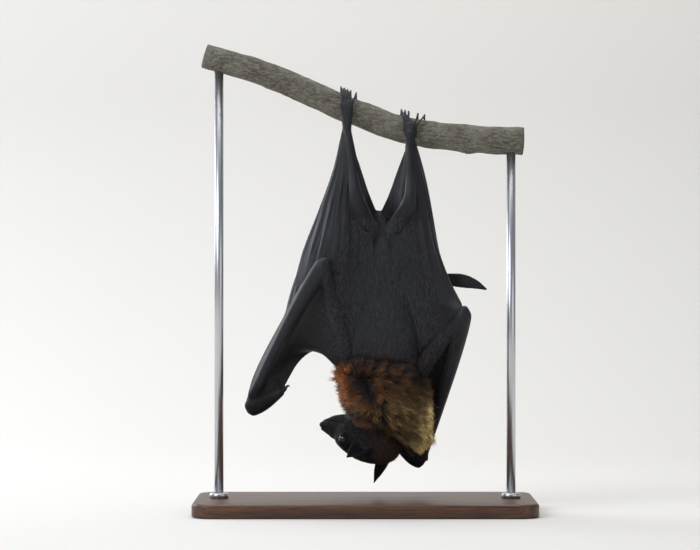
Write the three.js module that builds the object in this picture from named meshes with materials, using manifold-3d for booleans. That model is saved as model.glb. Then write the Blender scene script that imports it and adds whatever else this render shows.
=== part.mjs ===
// A life-size flying fox asleep under a branch, seen from its back: feet at the top, head at the bottom.
// The branch is a short cut length, carried by two rods on a flat base.
// Millimetres. +Z is up, -Y is the side of the animal's back, and +X is its left.
// The origin is the middle of the base's underside.
import * as THREE from "three";
import { mergeVertices } from "three/addons/utils/BufferGeometryUtils.js";
import Module from "manifold-3d";

const wasm = await Module();
wasm.setup();

const V = (x, y, z) => new THREE.Vector3(x, y, z);

// ---- driving dimensions ----

const GAP = 0.3; // left between neighbours, so that no two solids overlap
const CUT = GAP + 0.1; // how much a neighbour is grown before it cuts a piece
const SLIVER = 0.05; // edges shorter than this, left by a cut, are closed up
const EPSILON = 1e-3; // step for a slope on a sheet, as a share of its length

const BASE = { length: 340, width: 180, thickness: 14, corner: 22, bevel: 2 };
const ROD = { radius: 4.5, x: 146, y: 0, sunk: 9, bite: 5 };

// The branch: its middle line from the right end to the left end, thinner at the right end.
const BRANCH = {
  line: [
    V(-160, 2, 456), V(-125, 0, 446), V(-100, -1, 438), V(-75, -1, 428), V(-50, 0, 417), V(-25, 0, 405.5),
    V(0, 0, 396), V(25, 0, 386), V(57, 0, 378.5), V(87, 1, 375), V(125, 3, 372), V(158, 5, 371),
  ],
  thin: 12.6,
  thick: 14.4,
};

// The skeleton's joints on each side. The right side is the one at -X. `splay` is how much further
// than usual the folded fingers stand off the forearm near the wrist.
const RIGHT = {
  side: -1,
  ankle: V(-18, -20, 385),
  knee: V(-9, -35, 316),
  hip: V(5, -8, 266),
  shoulder: V(-13, 2, 138),
  elbow: V(-41, -37, 247),
  wrist: V(-112, 20, 113),
  thumb: V(-84, 15, 119),
  hand: V(-115, 19, 103),
  knuckles: V(-69, 6, 220),
  wingTop: V(-55, 8, 263),
  crotch: V(13, -7, 296),
  splay: 2.5,
};
const LEFT = {
  side: 1,
  ankle: V(44, -20, 376),
  knee: V(44, -34, 312),
  hip: V(27, -8, 266),
  shoulder: V(44, 4, 128),
  elbow: V(97, -40, 199),
  wrist: V(58, 42, 57),
  thumb: V(36, 40, 60),
  hand: V(58, 43, 49),
  knuckles: V(88, 0, 172),
  wingTop: V(74, 8, 246),
  crotch: V(14, -7, 296),
  splay: 0,
};

// Half sizes, in mm. Round limbs give one radius for each joint.
const BOW = 4; // how far the forearm bends away from the body halfway along
const LEG = { hip: 14, thigh: 12, knee: 8, shin: 5.6, ankle: 4.4 };
const ARM = { shoulder: 14, upper: 9.5, elbow: 8, forearm: 7, wrist: 5.4 };
const HAND = { heel: 8.8, palm: 9.2, palmDrop: 2.5, thumbEnd: 4.4 };
const THUMB = { length: 14, root: 2.8, middle: 2.2, claw: 0.7 };
const TOE = { count: 5, pitch: 3.6, radius: 2.1, clawTip: 0.7, fan: 0.35, knuckle: 1.6 };
const FOOT = { ankle: 4.4, sole: 8.6, depth: 3.4 };
const MEMBRANE = 1.4;
const HOLLOW = 3; // how far the fore web sags to the belly side in its middle

// The head's own axes: nose, right ear and crown. It is turned to its right and hangs crown down.
const HEAD = {
  centre: V(4.8, 4, 69),
  nose: V(-0.922, 0.385, 0.035),
  right: V(-0.364, -0.896, 0.253),
  crown: V(-0.129, -0.221, -0.967),
};
const EYE = { at: [22.4, 12.2, 0.4], radius: 6.3 };

// The right ear is turned outwards and laid forwards, and the left one stands up and faces ahead.
const EAR = { base: [-3, 15.5, 3.4], width: 16, roll: 1.15, sheet: 1.3 };
const EAR_TIP = { right: V(-18, -31, 57), left: V(9.4, 24, 30) };
const EAR_FACE = { right: V(-0.35, -1, 0.35), left: V(-0.7, 0.9, -0.05) };

// ---- from shapes to solids ----

// A closed surface, given as corners and triangles, as a manifold-3d solid that faces outwards.
function solid(corners, faces) {
  const geometry = new THREE.BufferGeometry();
  geometry.setAttribute("position", new THREE.Float32BufferAttribute(corners.flatMap((c) => c.toArray()), 3));
  geometry.setIndex(faces);
  return solidOf(geometry);
}

function solidOf(geometry) {
  const bare = geometry.clone();
  bare.deleteAttribute("normal");
  bare.deleteAttribute("uv");
  const merged = mergeVertices(bare, 1e-4);
  const triVerts = new Uint32Array(merged.index.array);
  const build = () => new wasm.Manifold(
    new wasm.Mesh({ numProp: 3, vertProperties: merged.attributes.position.array, triVerts }),
  );
  const made = build();
  if (made.volume() > 0) return made;
  for (let i = 0; i < triVerts.length; i += 3) {
    [triVerts[i + 1], triVerts[i + 2]] = [triVerts[i + 2], triVerts[i + 1]];
  }
  return build();
}

// The largest body left of a solid once the others are cut out of it.
function cut(piece, ...others) {
  const left = others.reduce((rest, other) => rest.subtract(other), piece);
  const body = left.decompose().reduce((best, next) => (next.volume() > best.volume() ? next : best));
  return body.asOriginal().simplify(SLIVER);
}

const smooth = (points) => new THREE.CatmullRomCurve3(points, false, "catmullrom", 0.5);
const mix = (a, b, t) => a.clone().lerp(b, t);

// An oval section carried along a smooth line and closed at both ends. A station is
// [middle, half width, half height to the back, half height to the belly]; `back` is the way the
// back side faces, and `grow` fattens the body for use as a cutter. Sections stand square to the
// line, or to `facing` where it is given.
function loft(stations, back, { around = 12, along = 12, grow = 0, facing = null } = {}) {
  const line = smooth(stations.map((s) => s[0]));
  const sizes = smooth(stations.map((s) => V(s[1], s[2], s[3] ?? s[2])));
  const corners = [];
  const faces = [];
  for (let i = 0; i <= along; i++) {
    const t = i / along;
    const middle = line.getPoint(t);
    const way = facing ?? line.getTangent(t);
    const up = back.clone().addScaledVector(way, -back.dot(way)).normalize();
    const wide = new THREE.Vector3().crossVectors(way, up);
    const half = sizes.getPoint(t).addScalar(grow);
    for (let j = 0; j < around; j++) {
      const a = (2 * Math.PI * j) / around;
      const height = Math.sin(a) > 0 ? half.y : half.z;
      const corner = middle.clone().addScaledVector(wide, half.x * Math.cos(a));
      corners.push(corner.addScaledVector(up, height * Math.sin(a)));
    }
  }
  for (let i = 0; i < along; i++) {
    for (let j = 0; j < around; j++) {
      const [a, b] = [i * around + j, i * around + ((j + 1) % around)];
      faces.push(a, b, b + around, a, b + around, a + around);
    }
  }
  [[0, 0], [1, along * around]].forEach(([t, ring]) => {
    const way = (facing ?? line.getTangent(t)).clone().multiplyScalar(t ? 1 : -1);
    const end = corners.push(line.getPoint(t).addScaledVector(way, grow)) - 1;
    for (let j = 0; j < around; j++) {
      const [a, b] = [ring + j, ring + ((j + 1) % around)];
      faces.push(...(t ? [a, b, end] : [b, a, end]));
    }
  });
  return solid(corners, faces);
}

// A closed, thin sheet about the surface that middle(u, v) gives for u and v from 0 to 1. As a
// cutter it is grown in its thickness and past its four edges.
function sheet(middle, thickness, { across = 8, along = 12, grow = 0 } = {}) {
  const corners = [];
  const faces = [];
  const half = thickness / 2 + grow;
  const slope = (f, t) => {
    const [low, high] = [Math.max(0, t - EPSILON), Math.min(1, t + EPSILON)];
    return f(high).sub(f(low));
  };
  for (const side of [1, -1]) {
    for (let i = 0; i <= across; i++) {
      for (let j = 0; j <= along; j++) {
        const [u, v] = [i / across, j / along];
        const du = slope((t) => middle(t, v), u).normalize();
        const dv = slope((t) => middle(u, t), v).normalize();
        const normal = new THREE.Vector3().crossVectors(du, dv).normalize();
        const past = (k, most) => (k === 0 ? -grow : k === most ? grow : 0);
        corners.push(middle(u, v)
          .addScaledVector(normal, side * half)
          .addScaledVector(du, past(i, across))
          .addScaledVector(dv, past(j, along)));
      }
    }
  }
  const at = (i, j, s) => (s * (across + 1) + i) * (along + 1) + j;
  const quad = (a, b, c, d) => faces.push(a, b, c, a, c, d);
  for (let i = 0; i < across; i++) {
    for (let j = 0; j < along; j++) {
      quad(at(i, j, 0), at(i + 1, j, 0), at(i + 1, j + 1, 0), at(i, j + 1, 0));
      quad(at(i, j + 1, 1), at(i + 1, j + 1, 1), at(i + 1, j, 1), at(i, j, 1));
    }
    quad(at(i, 0, 1), at(i + 1, 0, 1), at(i + 1, 0, 0), at(i, 0, 0));
    quad(at(i, along, 0), at(i + 1, along, 0), at(i + 1, along, 1), at(i, along, 1));
  }
  for (let j = 0; j < along; j++) {
    quad(at(0, j, 0), at(0, j + 1, 0), at(0, j + 1, 1), at(0, j, 1));
    quad(at(across, j, 1), at(across, j + 1, 1), at(across, j + 1, 0), at(across, j, 0));
  }
  return solid(corners, faces);
}

// The surface through several rails: smooth along each rail and smooth from rail to rail.
function through(rails) {
  const lines = rails.map(smooth);
  return (u, v) => smooth(lines.map((line) => line.getPoint(v))).getPoint(u);
}

const BACK = V(0, -1, 0);
const DOWN = V(0, 0, -1);

// ---- branch and stand ----

function branch() {
  const last = BRANCH.line.length - 1;
  const stations = BRANCH.line.map((p, i) => {
    const radius = BRANCH.thin + ((BRANCH.thick - BRANCH.thin) * i) / last;
    return [p, radius, radius];
  });
  return loft(stations, BACK, { around: 12, along: 13 });
}

// The branch where x is, by halving: its middle, the way it runs there and its radius.
function branchAt(x) {
  const line = smooth(BRANCH.line);
  let [low, high] = [0, 1];
  for (let i = 0; i < 30; i++) {
    const t = (low + high) / 2;
    if (line.getPoint(t).x < x) low = t;
    else high = t;
  }
  const radius = BRANCH.thin + (BRANCH.thick - BRANCH.thin) * low;
  return { middle: line.getPoint(low), way: line.getTangent(low), radius };
}

function rod(side, grow = 0) {
  const foot = BASE.thickness - ROD.sunk;
  const top = branchAt(side * ROD.x).middle.z - ROD.bite;
  const height = top - foot + grow;
  const shape = new THREE.CylinderGeometry(ROD.radius + grow, ROD.radius + grow, height, 16);
  shape.rotateX(Math.PI / 2).translate(side * ROD.x, ROD.y, foot - grow + height / 2 + grow / 2);
  return solidOf(shape);
}

function base() {
  const { length, width, thickness, corner, bevel } = BASE;
  const [x, y] = [length / 2 - bevel, width / 2 - bevel];
  const outline = new THREE.Shape();
  [[1, -1], [1, 1], [-1, 1], [-1, -1]].forEach(([i, j], k) => {
    const start = ((k - 1) * Math.PI) / 2;
    outline.absarc(i * (x - corner), j * (y - corner), corner, start, start + Math.PI / 2);
  });
  const plate = new THREE.ExtrudeGeometry(outline, {
    depth: thickness - 2 * bevel, bevelSize: bevel, bevelThickness: bevel, bevelSegments: 1, curveSegments: 3,
  });
  return solidOf(plate.translate(0, 0, bevel));
}

// ---- body ----

// [middle, half width, to the back, to the belly], from the rump down to the chest, coat included.
function trunk(grow = 0) {
  return loft([
    [V(13, -7, 302), 4, 4, 4],
    [V(14, -7, 290), 16, 12, 12],
    [V(16, -6, 268), 25, 19, 21],
    [V(18, -4, 238), 31, 25, 29],
    [V(19, -2, 206), 36, 30, 35],
    [V(20, 0, 176), 40, 33, 38],
    [V(20, 1, 148), 40, 33, 37],
  ], BACK, { around: 14, along: 11, grow });
}

// The ruff of long hair round the neck and shoulders, wider than the chest. It leans to the
// animal's left at the bottom, so that the head shows beside it.
function neck(grow = 0) {
  return loft([
    [V(14, 0, 160), 38, 34, 35],
    [V(16, -1, 151), 49, 39, 39],
    [V(18, -3, 138), 50, 43, 41],
    [V(21, -4, 118), 48.5, 44, 41],
    [V(24, -4, 101), 47.5, 41, 38],
    [V(29, -3, 90), 42, 36, 34],
    [V(37, -2, 82), 34, 31, 31],
    [V(43, -2, 75), 27, 27, 28],
    [V(46, -1, 65), 20, 20, 22],
    [V(47, 0, 57), 11, 11, 12],
    [V(47, 0, 54), 3, 3, 3],
  ], BACK, { around: 14, along: 11, grow, facing: DOWN });
}

// A point given in the head's own axes: towards the nose, the right ear and the crown.
function onHead(forward, right, up) {
  return HEAD.centre.clone()
    .addScaledVector(HEAD.nose, forward)
    .addScaledVector(HEAD.right, right)
    .addScaledVector(HEAD.crown, up);
}

// [forward, up, half width, to the crown, to the throat], from the nose back to the nape.
const PROFILE = [
  [56.8, -14.5, 3.5, 3, 3],
  [54.5, -15, 6.4, 6, 6.4],
  [48, -15, 8.6, 8.6, 9.6],
  [41, -14.5, 10.4, 11.4, 13],
  [33, -12.5, 12.5, 13, 16],
  [26, -9.5, 16, 18, 19],
  [17, -6.5, 19, 21.5, 21],
  [8, -4.5, 20.5, 24, 22],
  [-5, -3, 21, 24.5, 22],
  [-17, -3, 19, 23.5, 20],
  [-27, -3, 14, 18, 15],
  [-33, -3, 6, 8, 6],
];

function head(grow = 0) {
  const stations = PROFILE.map(([f, u, half, top, throat]) => [onHead(f, 0, u), half, top, throat]);
  return loft(stations, HEAD.crown, { around: 12, along: 13, grow });
}

function eye(side, grow = 0) {
  const [f, r, u] = EYE.at;
  const ball = new THREE.SphereGeometry(EYE.radius + grow, 10, 7);
  return solidOf(ball.translate(...onHead(f, -side * r, u).toArray()));
}

// A cupped, pointed leaf. Its section is an arc that is nearly a half circle at the root and
// flattens towards the tip.
function ear(side, grow = 0) {
  const [f, r, u] = EAR.base;
  const root = onHead(f, -side * r, u);
  const tip = side < 0 ? EAR_TIP.right : EAR_TIP.left;
  const way = tip.clone().sub(root);
  const axis = way.clone().normalize();
  const ahead = (side < 0 ? EAR_FACE.right : EAR_FACE.left).clone();
  ahead.addScaledVector(axis, -ahead.dot(axis)).normalize();
  const wide = new THREE.Vector3().crossVectors(axis, ahead);
  const leaf = (a, v) => {
    const half = (EAR.width / 2) * (1.02 - v ** 2.2) * (0.72 + 0.9 * v * (1 - v) * 1.6);
    const roll = EAR.roll * (1 - 0.55 * v);
    const angle = (2 * a - 1) * roll;
    return root.clone()
      .addScaledVector(way, v)
      .addScaledVector(wide, (half * Math.sin(angle)) / Math.sin(roll))
      .addScaledVector(ahead, (half * (Math.cos(roll) - Math.cos(angle))) / Math.sin(roll));
  };
  return sheet(leaf, EAR.sheet, { across: 4, along: 7, grow });
}

// ---- hind limbs ----

function leg(limb, grow = 0) {
  return loft([
    [limb.hip, LEG.hip, LEG.hip],
    [mix(limb.hip, limb.knee, 0.5), LEG.thigh, LEG.thigh],
    [limb.knee, LEG.knee, LEG.knee],
    [mix(limb.knee, limb.ankle, 0.45), LEG.shin, LEG.shin],
    [limb.ankle, LEG.ankle, LEG.ankle],
  ], BACK, { around: 8, along: 10, grow });
}

// A toe runs up the near side of the branch, over its top and down behind, and ends in its claw.
function toe(index, perch) {
  const ring = perch.radius + TOE.radius + 5 * GAP;
  const place = index - (TOE.count - 1) / 2;
  const shift = perch.way.clone().multiplyScalar(place * TOE.pitch);
  const stations = [-0.12, 0.1, 0.32, 0.55, 0.78, 0.95, 1.08].map((turn, i) => {
    const a = Math.PI * (1 - turn);
    const spread = 1 + TOE.fan * Math.sin(Math.PI * Math.min(1, Math.max(0, turn)));
    const reach = ring + (i === 2 || i === 3 ? TOE.knuckle : 0);
    const middle = perch.middle.clone()
      .addScaledVector(shift, spread)
      .add(V(0, Math.cos(a) * reach, (Math.sin(a) * reach) / perch.way.x));
    const radius = i < 5 ? TOE.radius : i < 6 ? TOE.radius * 0.75 : TOE.clawTip;
    return [middle, radius, radius];
  });
  return loft(stations, perch.way, { around: 5, along: 6 });
}

// The sole lies on the near side of the branch, and five toes grow from it.
function foot(limb) {
  const perch = branchAt(limb.ankle.x);
  const near = perch.middle.clone().add(V(0, -perch.radius - FOOT.depth - 2 * GAP, 0));
  const sole = loft([
    [limb.ankle, FOOT.ankle, FOOT.ankle],
    [mix(limb.ankle, near, 0.55), FOOT.ankle + 0.8, FOOT.depth],
    [near, FOOT.sole, FOOT.depth],
    [near.clone().add(V(0, 1, 5)), FOOT.sole - 1, FOOT.depth - 1],
  ], BACK, { around: 8, along: 4 });
  const toes = Array.from({ length: TOE.count }, (_, i) => toe(i, perch));
  return toes.reduce((all, one) => all.add(one), sole);
}

// The narrow web along the inside of a leg, from the ankle's spur to the rump.
function tailWeb(limb, grow = 0) {
  const spur = limb.ankle.clone().add(V(-limb.side * 6, 1, -14));
  const inner = (t, out) => mix(spur, limb.crotch, t).add(V(limb.side * out, 0, 0));
  const kneeAt = 0.62;
  const bone = (t) => (t < kneeAt
    ? mix(limb.ankle, limb.knee, t / kneeAt)
    : mix(limb.knee, limb.hip, (t - kneeAt) / (1 - kneeAt)));
  return sheet(through([
    [0.1, 0.4, 0.7, 1].map((t) => bone(t)),
    [0.1, 0.4, 0.7, 1].map((t) => mix(bone(t), inner(t, 1.5), 0.55).add(V(0, 2, 0))),
    [0.02, 0.35, 0.68, 1].map((t) => inner(t, t < 0.9 ? 1.5 : -1)),
  ]), MEMBRANE, { across: 2, along: 7, grow });
}

// ---- wings ----

function upperArm(limb, grow = 0) {
  return loft([
    [limb.shoulder, ARM.shoulder, ARM.shoulder],
    [mix(limb.shoulder, limb.elbow, 0.45), ARM.upper, ARM.upper],
    [limb.elbow, ARM.elbow, ARM.elbow],
    [mix(limb.shoulder, limb.elbow, 1.05), ARM.elbow * 0.4, ARM.elbow * 0.4],
  ], BACK, { around: 8, along: 8, grow });
}

// A point on the forearm's slightly bent middle line.
function onForearm(limb, share) {
  return mix(limb.elbow, limb.wrist, share).add(V(limb.side * BOW * Math.sin(Math.PI * share), 0, 0));
}

function forearm(limb, grow = 0) {
  return loft([
    [onForearm(limb, -0.03), ARM.elbow * 0.5, ARM.elbow * 0.5],
    [onForearm(limb, 0.03), ARM.elbow, ARM.elbow],
    [onForearm(limb, 0.3), ARM.forearm, ARM.forearm],
    [onForearm(limb, 0.7), ARM.wrist, ARM.wrist],
    [limb.wrist, ARM.wrist, ARM.wrist],
  ], BACK, { around: 8, along: 9, grow });
}

function hand(limb, grow = 0) {
  return loft([
    [mix(limb.hand, limb.thumb, -0.14), HAND.heel * 0.5, HAND.heel * 0.5],
    [limb.hand, HAND.heel, HAND.heel],
    [mix(limb.hand, limb.thumb, 0.42).add(V(0, 0, -HAND.palmDrop)), HAND.palm, HAND.palm * 0.8],
    [limb.thumb, HAND.thumbEnd, HAND.thumbEnd],
    [mix(limb.hand, limb.thumb, 1.08), HAND.thumbEnd * 0.4, HAND.thumbEnd * 0.4],
  ], BACK, { around: 8, along: 6, grow });
}

function thumb(limb, grow = 0) {
  const way = limb.thumb.clone().sub(limb.hand).normalize().add(V(0, -0.15, 0.55)).normalize();
  const at = (share, drop) => {
    return limb.thumb.clone().addScaledVector(way, share * THUMB.length).add(V(0, drop, drop));
  };
  return loft([
    [at(-0.1, 0), THUMB.root, THUMB.root],
    [at(0.3, 0), THUMB.middle, THUMB.middle],
    [at(0.6, 1), THUMB.middle, THUMB.middle],
    [at(0.85, 0), THUMB.middle * 0.8, THUMB.middle * 0.8],
    [at(1, -2.4), THUMB.claw, THUMB.claw],
  ], BACK, { around: 6, along: 8, grow });
}

// The long fingers folded back along the forearm in one flat bundle: wrist, knuckles, then the
// next finger bones up to the top of the folded wing.
function fingers(limb, grow = 0) {
  const bone = limb.wrist.clone().sub(limb.elbow).normalize();
  const out = limb.knuckles.clone().sub(limb.elbow);
  out.addScaledVector(bone, -out.dot(bone)).normalize();
  const face = new THREE.Vector3().crossVectors(bone, out).normalize();
  const beside = (share, off) => mix(limb.wrist, limb.elbow, share).addScaledVector(out, off);
  return loft([
    [mix(limb.hand, limb.wrist, 0.2).addScaledVector(out, 3 + limb.splay), 4, 3],
    [beside(0.06, 8 + limb.splay), 8, 5.5],
    [beside(0.3, 13 + limb.splay), 9, 5.5],
    [beside(0.55, 14), 9, 5.5],
    [limb.knuckles, 8, 5.5],
    [mix(limb.knuckles, limb.wingTop, 0.55), 6.5, 4.5],
    [limb.wingTop, 3.5, 2.6],
  ], face, { around: 8, along: 10, grow });
}

// The loose end of the wing, past the second finger joints. The right one lies folded against the
// inner side of the wing, and the left one stands out to the side.
function wingTip(limb) {
  const right = limb.side < 0;
  const line = right
    ? [V(-50, 12, 256), V(-44, 17, 244), V(-42, 21, 222), V(-46, 25, 196), V(-53, 27, 174)]
    : [V(73, 10, 234), V(84, 8, 232.5), V(98, 6, 231), V(111, 5, 227.5), V(122.5, 5, 222)];
  const wide = right ? [2.2, 4.6, 5.6, 4.2, 0.7] : [3.5, 6.6, 7.4, 5, 0.8];
  const face = right ? V(-0.2, 1, 0) : V(0, -1, 0.25);
  return loft(line.map((p, i) => [p, wide[i], i < 4 ? 1.5 : 0.6]), face, { around: 6, along: 8 });
}

// The web ahead of the arm, from the upper arm and shoulder to the forearm and thumb.
function foreWeb(limb, grow = 0) {
  const edge = limb.side < 0
    ? [V(-27, -6, 178), V(-33, 0, 157), V(-49, 9, 162), V(-66, 14, 149), V(-83, 15, 120)]
    : [V(60, -2, 150), V(58, 10, 122), V(52, 20, 105), V(44, 30, 84), V(36, 38, 62)];
  const start = mix(limb.elbow, limb.shoulder, 0.04);
  const outer = [start, mix(limb.elbow, limb.shoulder, 0.4), ...edge];
  const last = outer.length - 1;
  const bone = outer.map((_, i) => mix(limb.elbow, limb.wrist, 0.05 + (0.95 * i) / last));
  const between = (share) => outer.map((p, i) => {
    const sag = HOLLOW * Math.sin(Math.PI * share) * Math.sin((Math.PI * i) / last);
    return mix(bone[i], p, share).add(V(0, sag, 0));
  });
  return sheet(through([bone, between(0.33), between(0.67), outer]), MEMBRANE, { across: 4, along: 9, grow });
}

// The great web from the ankle and the flank to the arm and the folded fingers.
function sideWeb(limb, grow = 0) {
  const rails = limb.side < 0
    ? [
      [[-16, -19, 386], [-11, -29, 340], [-8, -30, 300], [-6, -27, 262], [-11, -23, 210], [-14, -10, 150]],
      [[-19, -20, 386], [-19, -28, 340], [-22, -31, 302], [-25, -34, 268], [-30, -31, 225], [-24, -16, 185]],
      [[-22, -19, 386], [-26, -24, 340], [-36, -24, 304], [-43, -26, 274], [-50, -20, 246], [-56, -10, 216]],
      [[-25, -18, 386], [-32, -18, 342], [-47, -12, 300], [-59, -4, 270], [-66, 2, 248], [-74, 7, 216]],
    ]
    : [
      [[43, -19, 376], [43, -29, 335], [42, -30, 300], [42, -26, 262], [46, -22, 210], [48, -8, 146]],
      [[46, -20, 376], [50, -27, 335], [54, -29, 300], [60, -30, 262], [68, -32, 215], [74, -24, 168]],
      [[49, -20, 376], [55, -22, 335], [62, -20, 300], [71, -20, 262], [84, -26, 228], [96, -39, 202]],
      [[51, -18, 376], [60, -8, 335], [67, -2, 300], [72, 4, 266], [78, 4, 240], [86, -10, 216]],
    ];
  const lines = rails.map((rail) => rail.map((p) => V(...p)));
  return sheet(through(lines), MEMBRANE, { across: 5, along: 11, grow });
}

// ---- assembly ----

const FINISH = {
  wood: { color: 0x5b3b24, roughness: 0.5, metalness: 0 },
  steel: { color: 0x9a9da1, roughness: 0.35, metalness: 1 },
  bark: { color: 0x7d7264, roughness: 0.9, metalness: 0 },
  coat: { color: 0x1b1a1c, roughness: 0.85, metalness: 0 },
  ruff: { color: 0x7a3f1f, roughness: 0.85, metalness: 0 },
  skin: { color: 0x232326, roughness: 0.6, metalness: 0 },
  eye: { color: 0x140b06, roughness: 0.08, metalness: 0 },
};
const materials = Object.fromEntries(
  Object.entries(FINISH).map(([name, look]) => [name, new THREE.MeshStandardMaterial({ name, ...look })]),
);

const bat = new THREE.Group();

function add(name, finish, shape) {
  const { numProp, vertProperties, triVerts } = shape.getMesh();
  const points = new Float32Array(shape.numVert() * 3);
  for (let i = 0; i < shape.numVert(); i++) {
    points.set(vertProperties.subarray(i * numProp, i * numProp + 3), i * 3);
  }
  const geometry = new THREE.BufferGeometry();
  geometry.setAttribute("position", new THREE.BufferAttribute(points, 3));
  geometry.setIndex(new THREE.BufferAttribute(new Uint32Array(triVerts), 1));
  geometry.computeVertexNormals();
  const mesh = new THREE.Mesh(geometry, materials[finish]);
  mesh.name = name;
  bat.add(mesh);
}

const LIMBS = { right: RIGHT, left: LEFT };

// Cutters shared by both sides.
const grown = {
  trunk: trunk(CUT), neck: neck(CUT), head: head(CUT),
};
const arms = Object.values(LIMBS).map((limb) => forearm(limb, CUT));

add("stand_base", "wood", cut(base(), rod(-1, CUT), rod(1, CUT)));
add("stand_rod_right", "steel", rod(-1));
add("stand_rod_left", "steel", rod(1));
add("perch", "bark", cut(branch(), rod(-1, CUT), rod(1, CUT)));
add("trunk", "coat", trunk());
add("neck", "ruff", cut(neck(), grown.trunk, grown.head, ...arms));
add("head", "coat", cut(head(), grown.trunk, eye(-1, CUT), eye(1, CUT)));

for (const [name, limb] of Object.entries(LIMBS)) {
  const shapes = { upperArm, forearm, hand, thumb, fingers, leg, foreWeb };
  const big = Object.fromEntries(Object.entries(shapes).map(([key, shape]) => [key, shape(limb, CUT)]));
  const body = [grown.trunk, grown.neck, grown.head];
  const arm = [big.upperArm, big.forearm, big.hand, big.thumb, big.fingers];
  const step = foot(limb);
  add(`eye_${name}`, "eye", eye(limb.side));
  add(`ear_${name}`, "skin", cut(ear(limb.side), grown.head, grown.neck));
  add(`upper_arm_${name}`, "coat", cut(upperArm(limb), ...body));
  add(`forearm_${name}`, "skin", cut(forearm(limb), big.upperArm));
  add(`hand_${name}`, "skin", cut(hand(limb), big.forearm, grown.neck));
  add(`thumb_${name}`, "skin", cut(thumb(limb), big.hand, big.forearm, grown.neck));
  add(`fingers_${name}`, "skin", cut(fingers(limb), big.upperArm, big.forearm, big.hand));
  add(`wing_tip_${name}`, "skin", cut(wingTip(limb), big.fingers, sideWeb(limb, CUT)));
  add(`fore_web_${name}`, "skin", cut(foreWeb(limb), ...body, ...arm));
  add(`side_web_${name}`, "skin", cut(sideWeb(limb), ...body, ...arm, big.leg, big.foreWeb));
  add(`leg_${name}`, "coat", cut(leg(limb), grown.trunk));
  add(`tail_web_${name}`, "skin", cut(tailWeb(limb), grown.trunk, big.leg, sideWeb(limb, CUT)));
  add(`foot_${name}`, "skin", cut(step, big.leg, sideWeb(limb, CUT)));
}

export default bat;
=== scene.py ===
"""A life-size model of a large flying fox at rest under a cut branch, on a display stand.

Sizes in this script are in millimetres and are turned to metres when a mesh is made. +Z is up,
-Y is the side of the animal's back, and +X is its left.
"""
import bpy
import numpy as np
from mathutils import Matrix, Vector


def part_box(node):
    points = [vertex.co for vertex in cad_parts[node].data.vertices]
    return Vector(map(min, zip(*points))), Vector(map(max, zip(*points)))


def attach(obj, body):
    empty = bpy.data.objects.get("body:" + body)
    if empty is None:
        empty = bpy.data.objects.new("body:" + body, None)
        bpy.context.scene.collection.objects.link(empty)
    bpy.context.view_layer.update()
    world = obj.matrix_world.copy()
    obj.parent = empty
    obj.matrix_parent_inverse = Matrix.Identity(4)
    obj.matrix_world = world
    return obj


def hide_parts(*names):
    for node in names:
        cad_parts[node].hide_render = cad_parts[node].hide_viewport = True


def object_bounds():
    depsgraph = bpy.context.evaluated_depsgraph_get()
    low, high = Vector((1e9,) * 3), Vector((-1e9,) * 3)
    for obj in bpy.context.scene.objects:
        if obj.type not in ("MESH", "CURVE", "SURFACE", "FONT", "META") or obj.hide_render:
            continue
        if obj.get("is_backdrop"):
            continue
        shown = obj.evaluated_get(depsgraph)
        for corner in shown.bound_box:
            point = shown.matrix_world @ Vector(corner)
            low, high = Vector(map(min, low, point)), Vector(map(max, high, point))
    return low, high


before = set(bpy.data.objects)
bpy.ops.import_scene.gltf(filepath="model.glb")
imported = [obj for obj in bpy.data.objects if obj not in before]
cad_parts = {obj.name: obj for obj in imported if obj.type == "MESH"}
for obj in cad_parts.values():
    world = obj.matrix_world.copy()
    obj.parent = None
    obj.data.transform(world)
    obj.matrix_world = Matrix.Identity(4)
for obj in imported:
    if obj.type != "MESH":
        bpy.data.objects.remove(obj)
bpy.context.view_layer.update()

# ---------------------------------------------------------------------------------------------
# The room: a pale matt floor that sweeps up behind the model, a camera level with its middle,
# and four soft lamps round it.
# ---------------------------------------------------------------------------------------------

MM = 0.001


def cells(rows, columns):
    """Two lists of numbers as a grid's rows and its columns."""
    return np.meshgrid(rows, columns, indexing="ij")


def grid(rows, columns, wrap=False):
    """Triangles over a grid of points: each cell of rows by columns is cut in two. With wrap, the
    last column joins the first."""
    i, j = cells(np.arange(rows - 1), np.arange(columns if wrap else columns - 1))
    a, b = i * columns + j, i * columns + (j + 1) % columns
    c, d = b + columns, a + columns
    return np.stack([a, b, c, a, c, d], axis=-1).reshape(-1, 3)


def piece(name, points, faces, finish, body="root"):
    """An object at the origin from points in millimetres and triangles, riding on a body. Scenery
    has no body."""
    mesh = bpy.data.meshes.new(name)
    points = np.asarray(points, float).reshape(-1, 3) * MM
    mesh.vertices.add(len(points))
    mesh.vertices.foreach_set("co", points.ravel())
    mesh.loops.add(faces.size)
    mesh.loops.foreach_set("vertex_index", faces.ravel().astype(np.int32))
    mesh.polygons.add(len(faces))
    mesh.polygons.foreach_set("loop_start", np.arange(0, faces.size, 3, dtype=np.int32))
    mesh.update(calc_edges=True)
    mesh.shade_smooth()
    if finish:
        mesh.materials.append(finish)
    made = bpy.data.objects.new(name, mesh)
    bpy.context.scene.collection.objects.link(made)
    if body:
        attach(made, body)
    return made


def linear(code):
    """An sRGB hex colour as the linear values that shaders take."""
    c = np.array([int(code[i:i + 2], 16) for i in (1, 3, 5)]) / 255
    c = np.where(c <= 0.04045, c / 12.92, ((c + 0.055) / 1.055) ** 2.4)
    return (*c.tolist(), 1.0)


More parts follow.
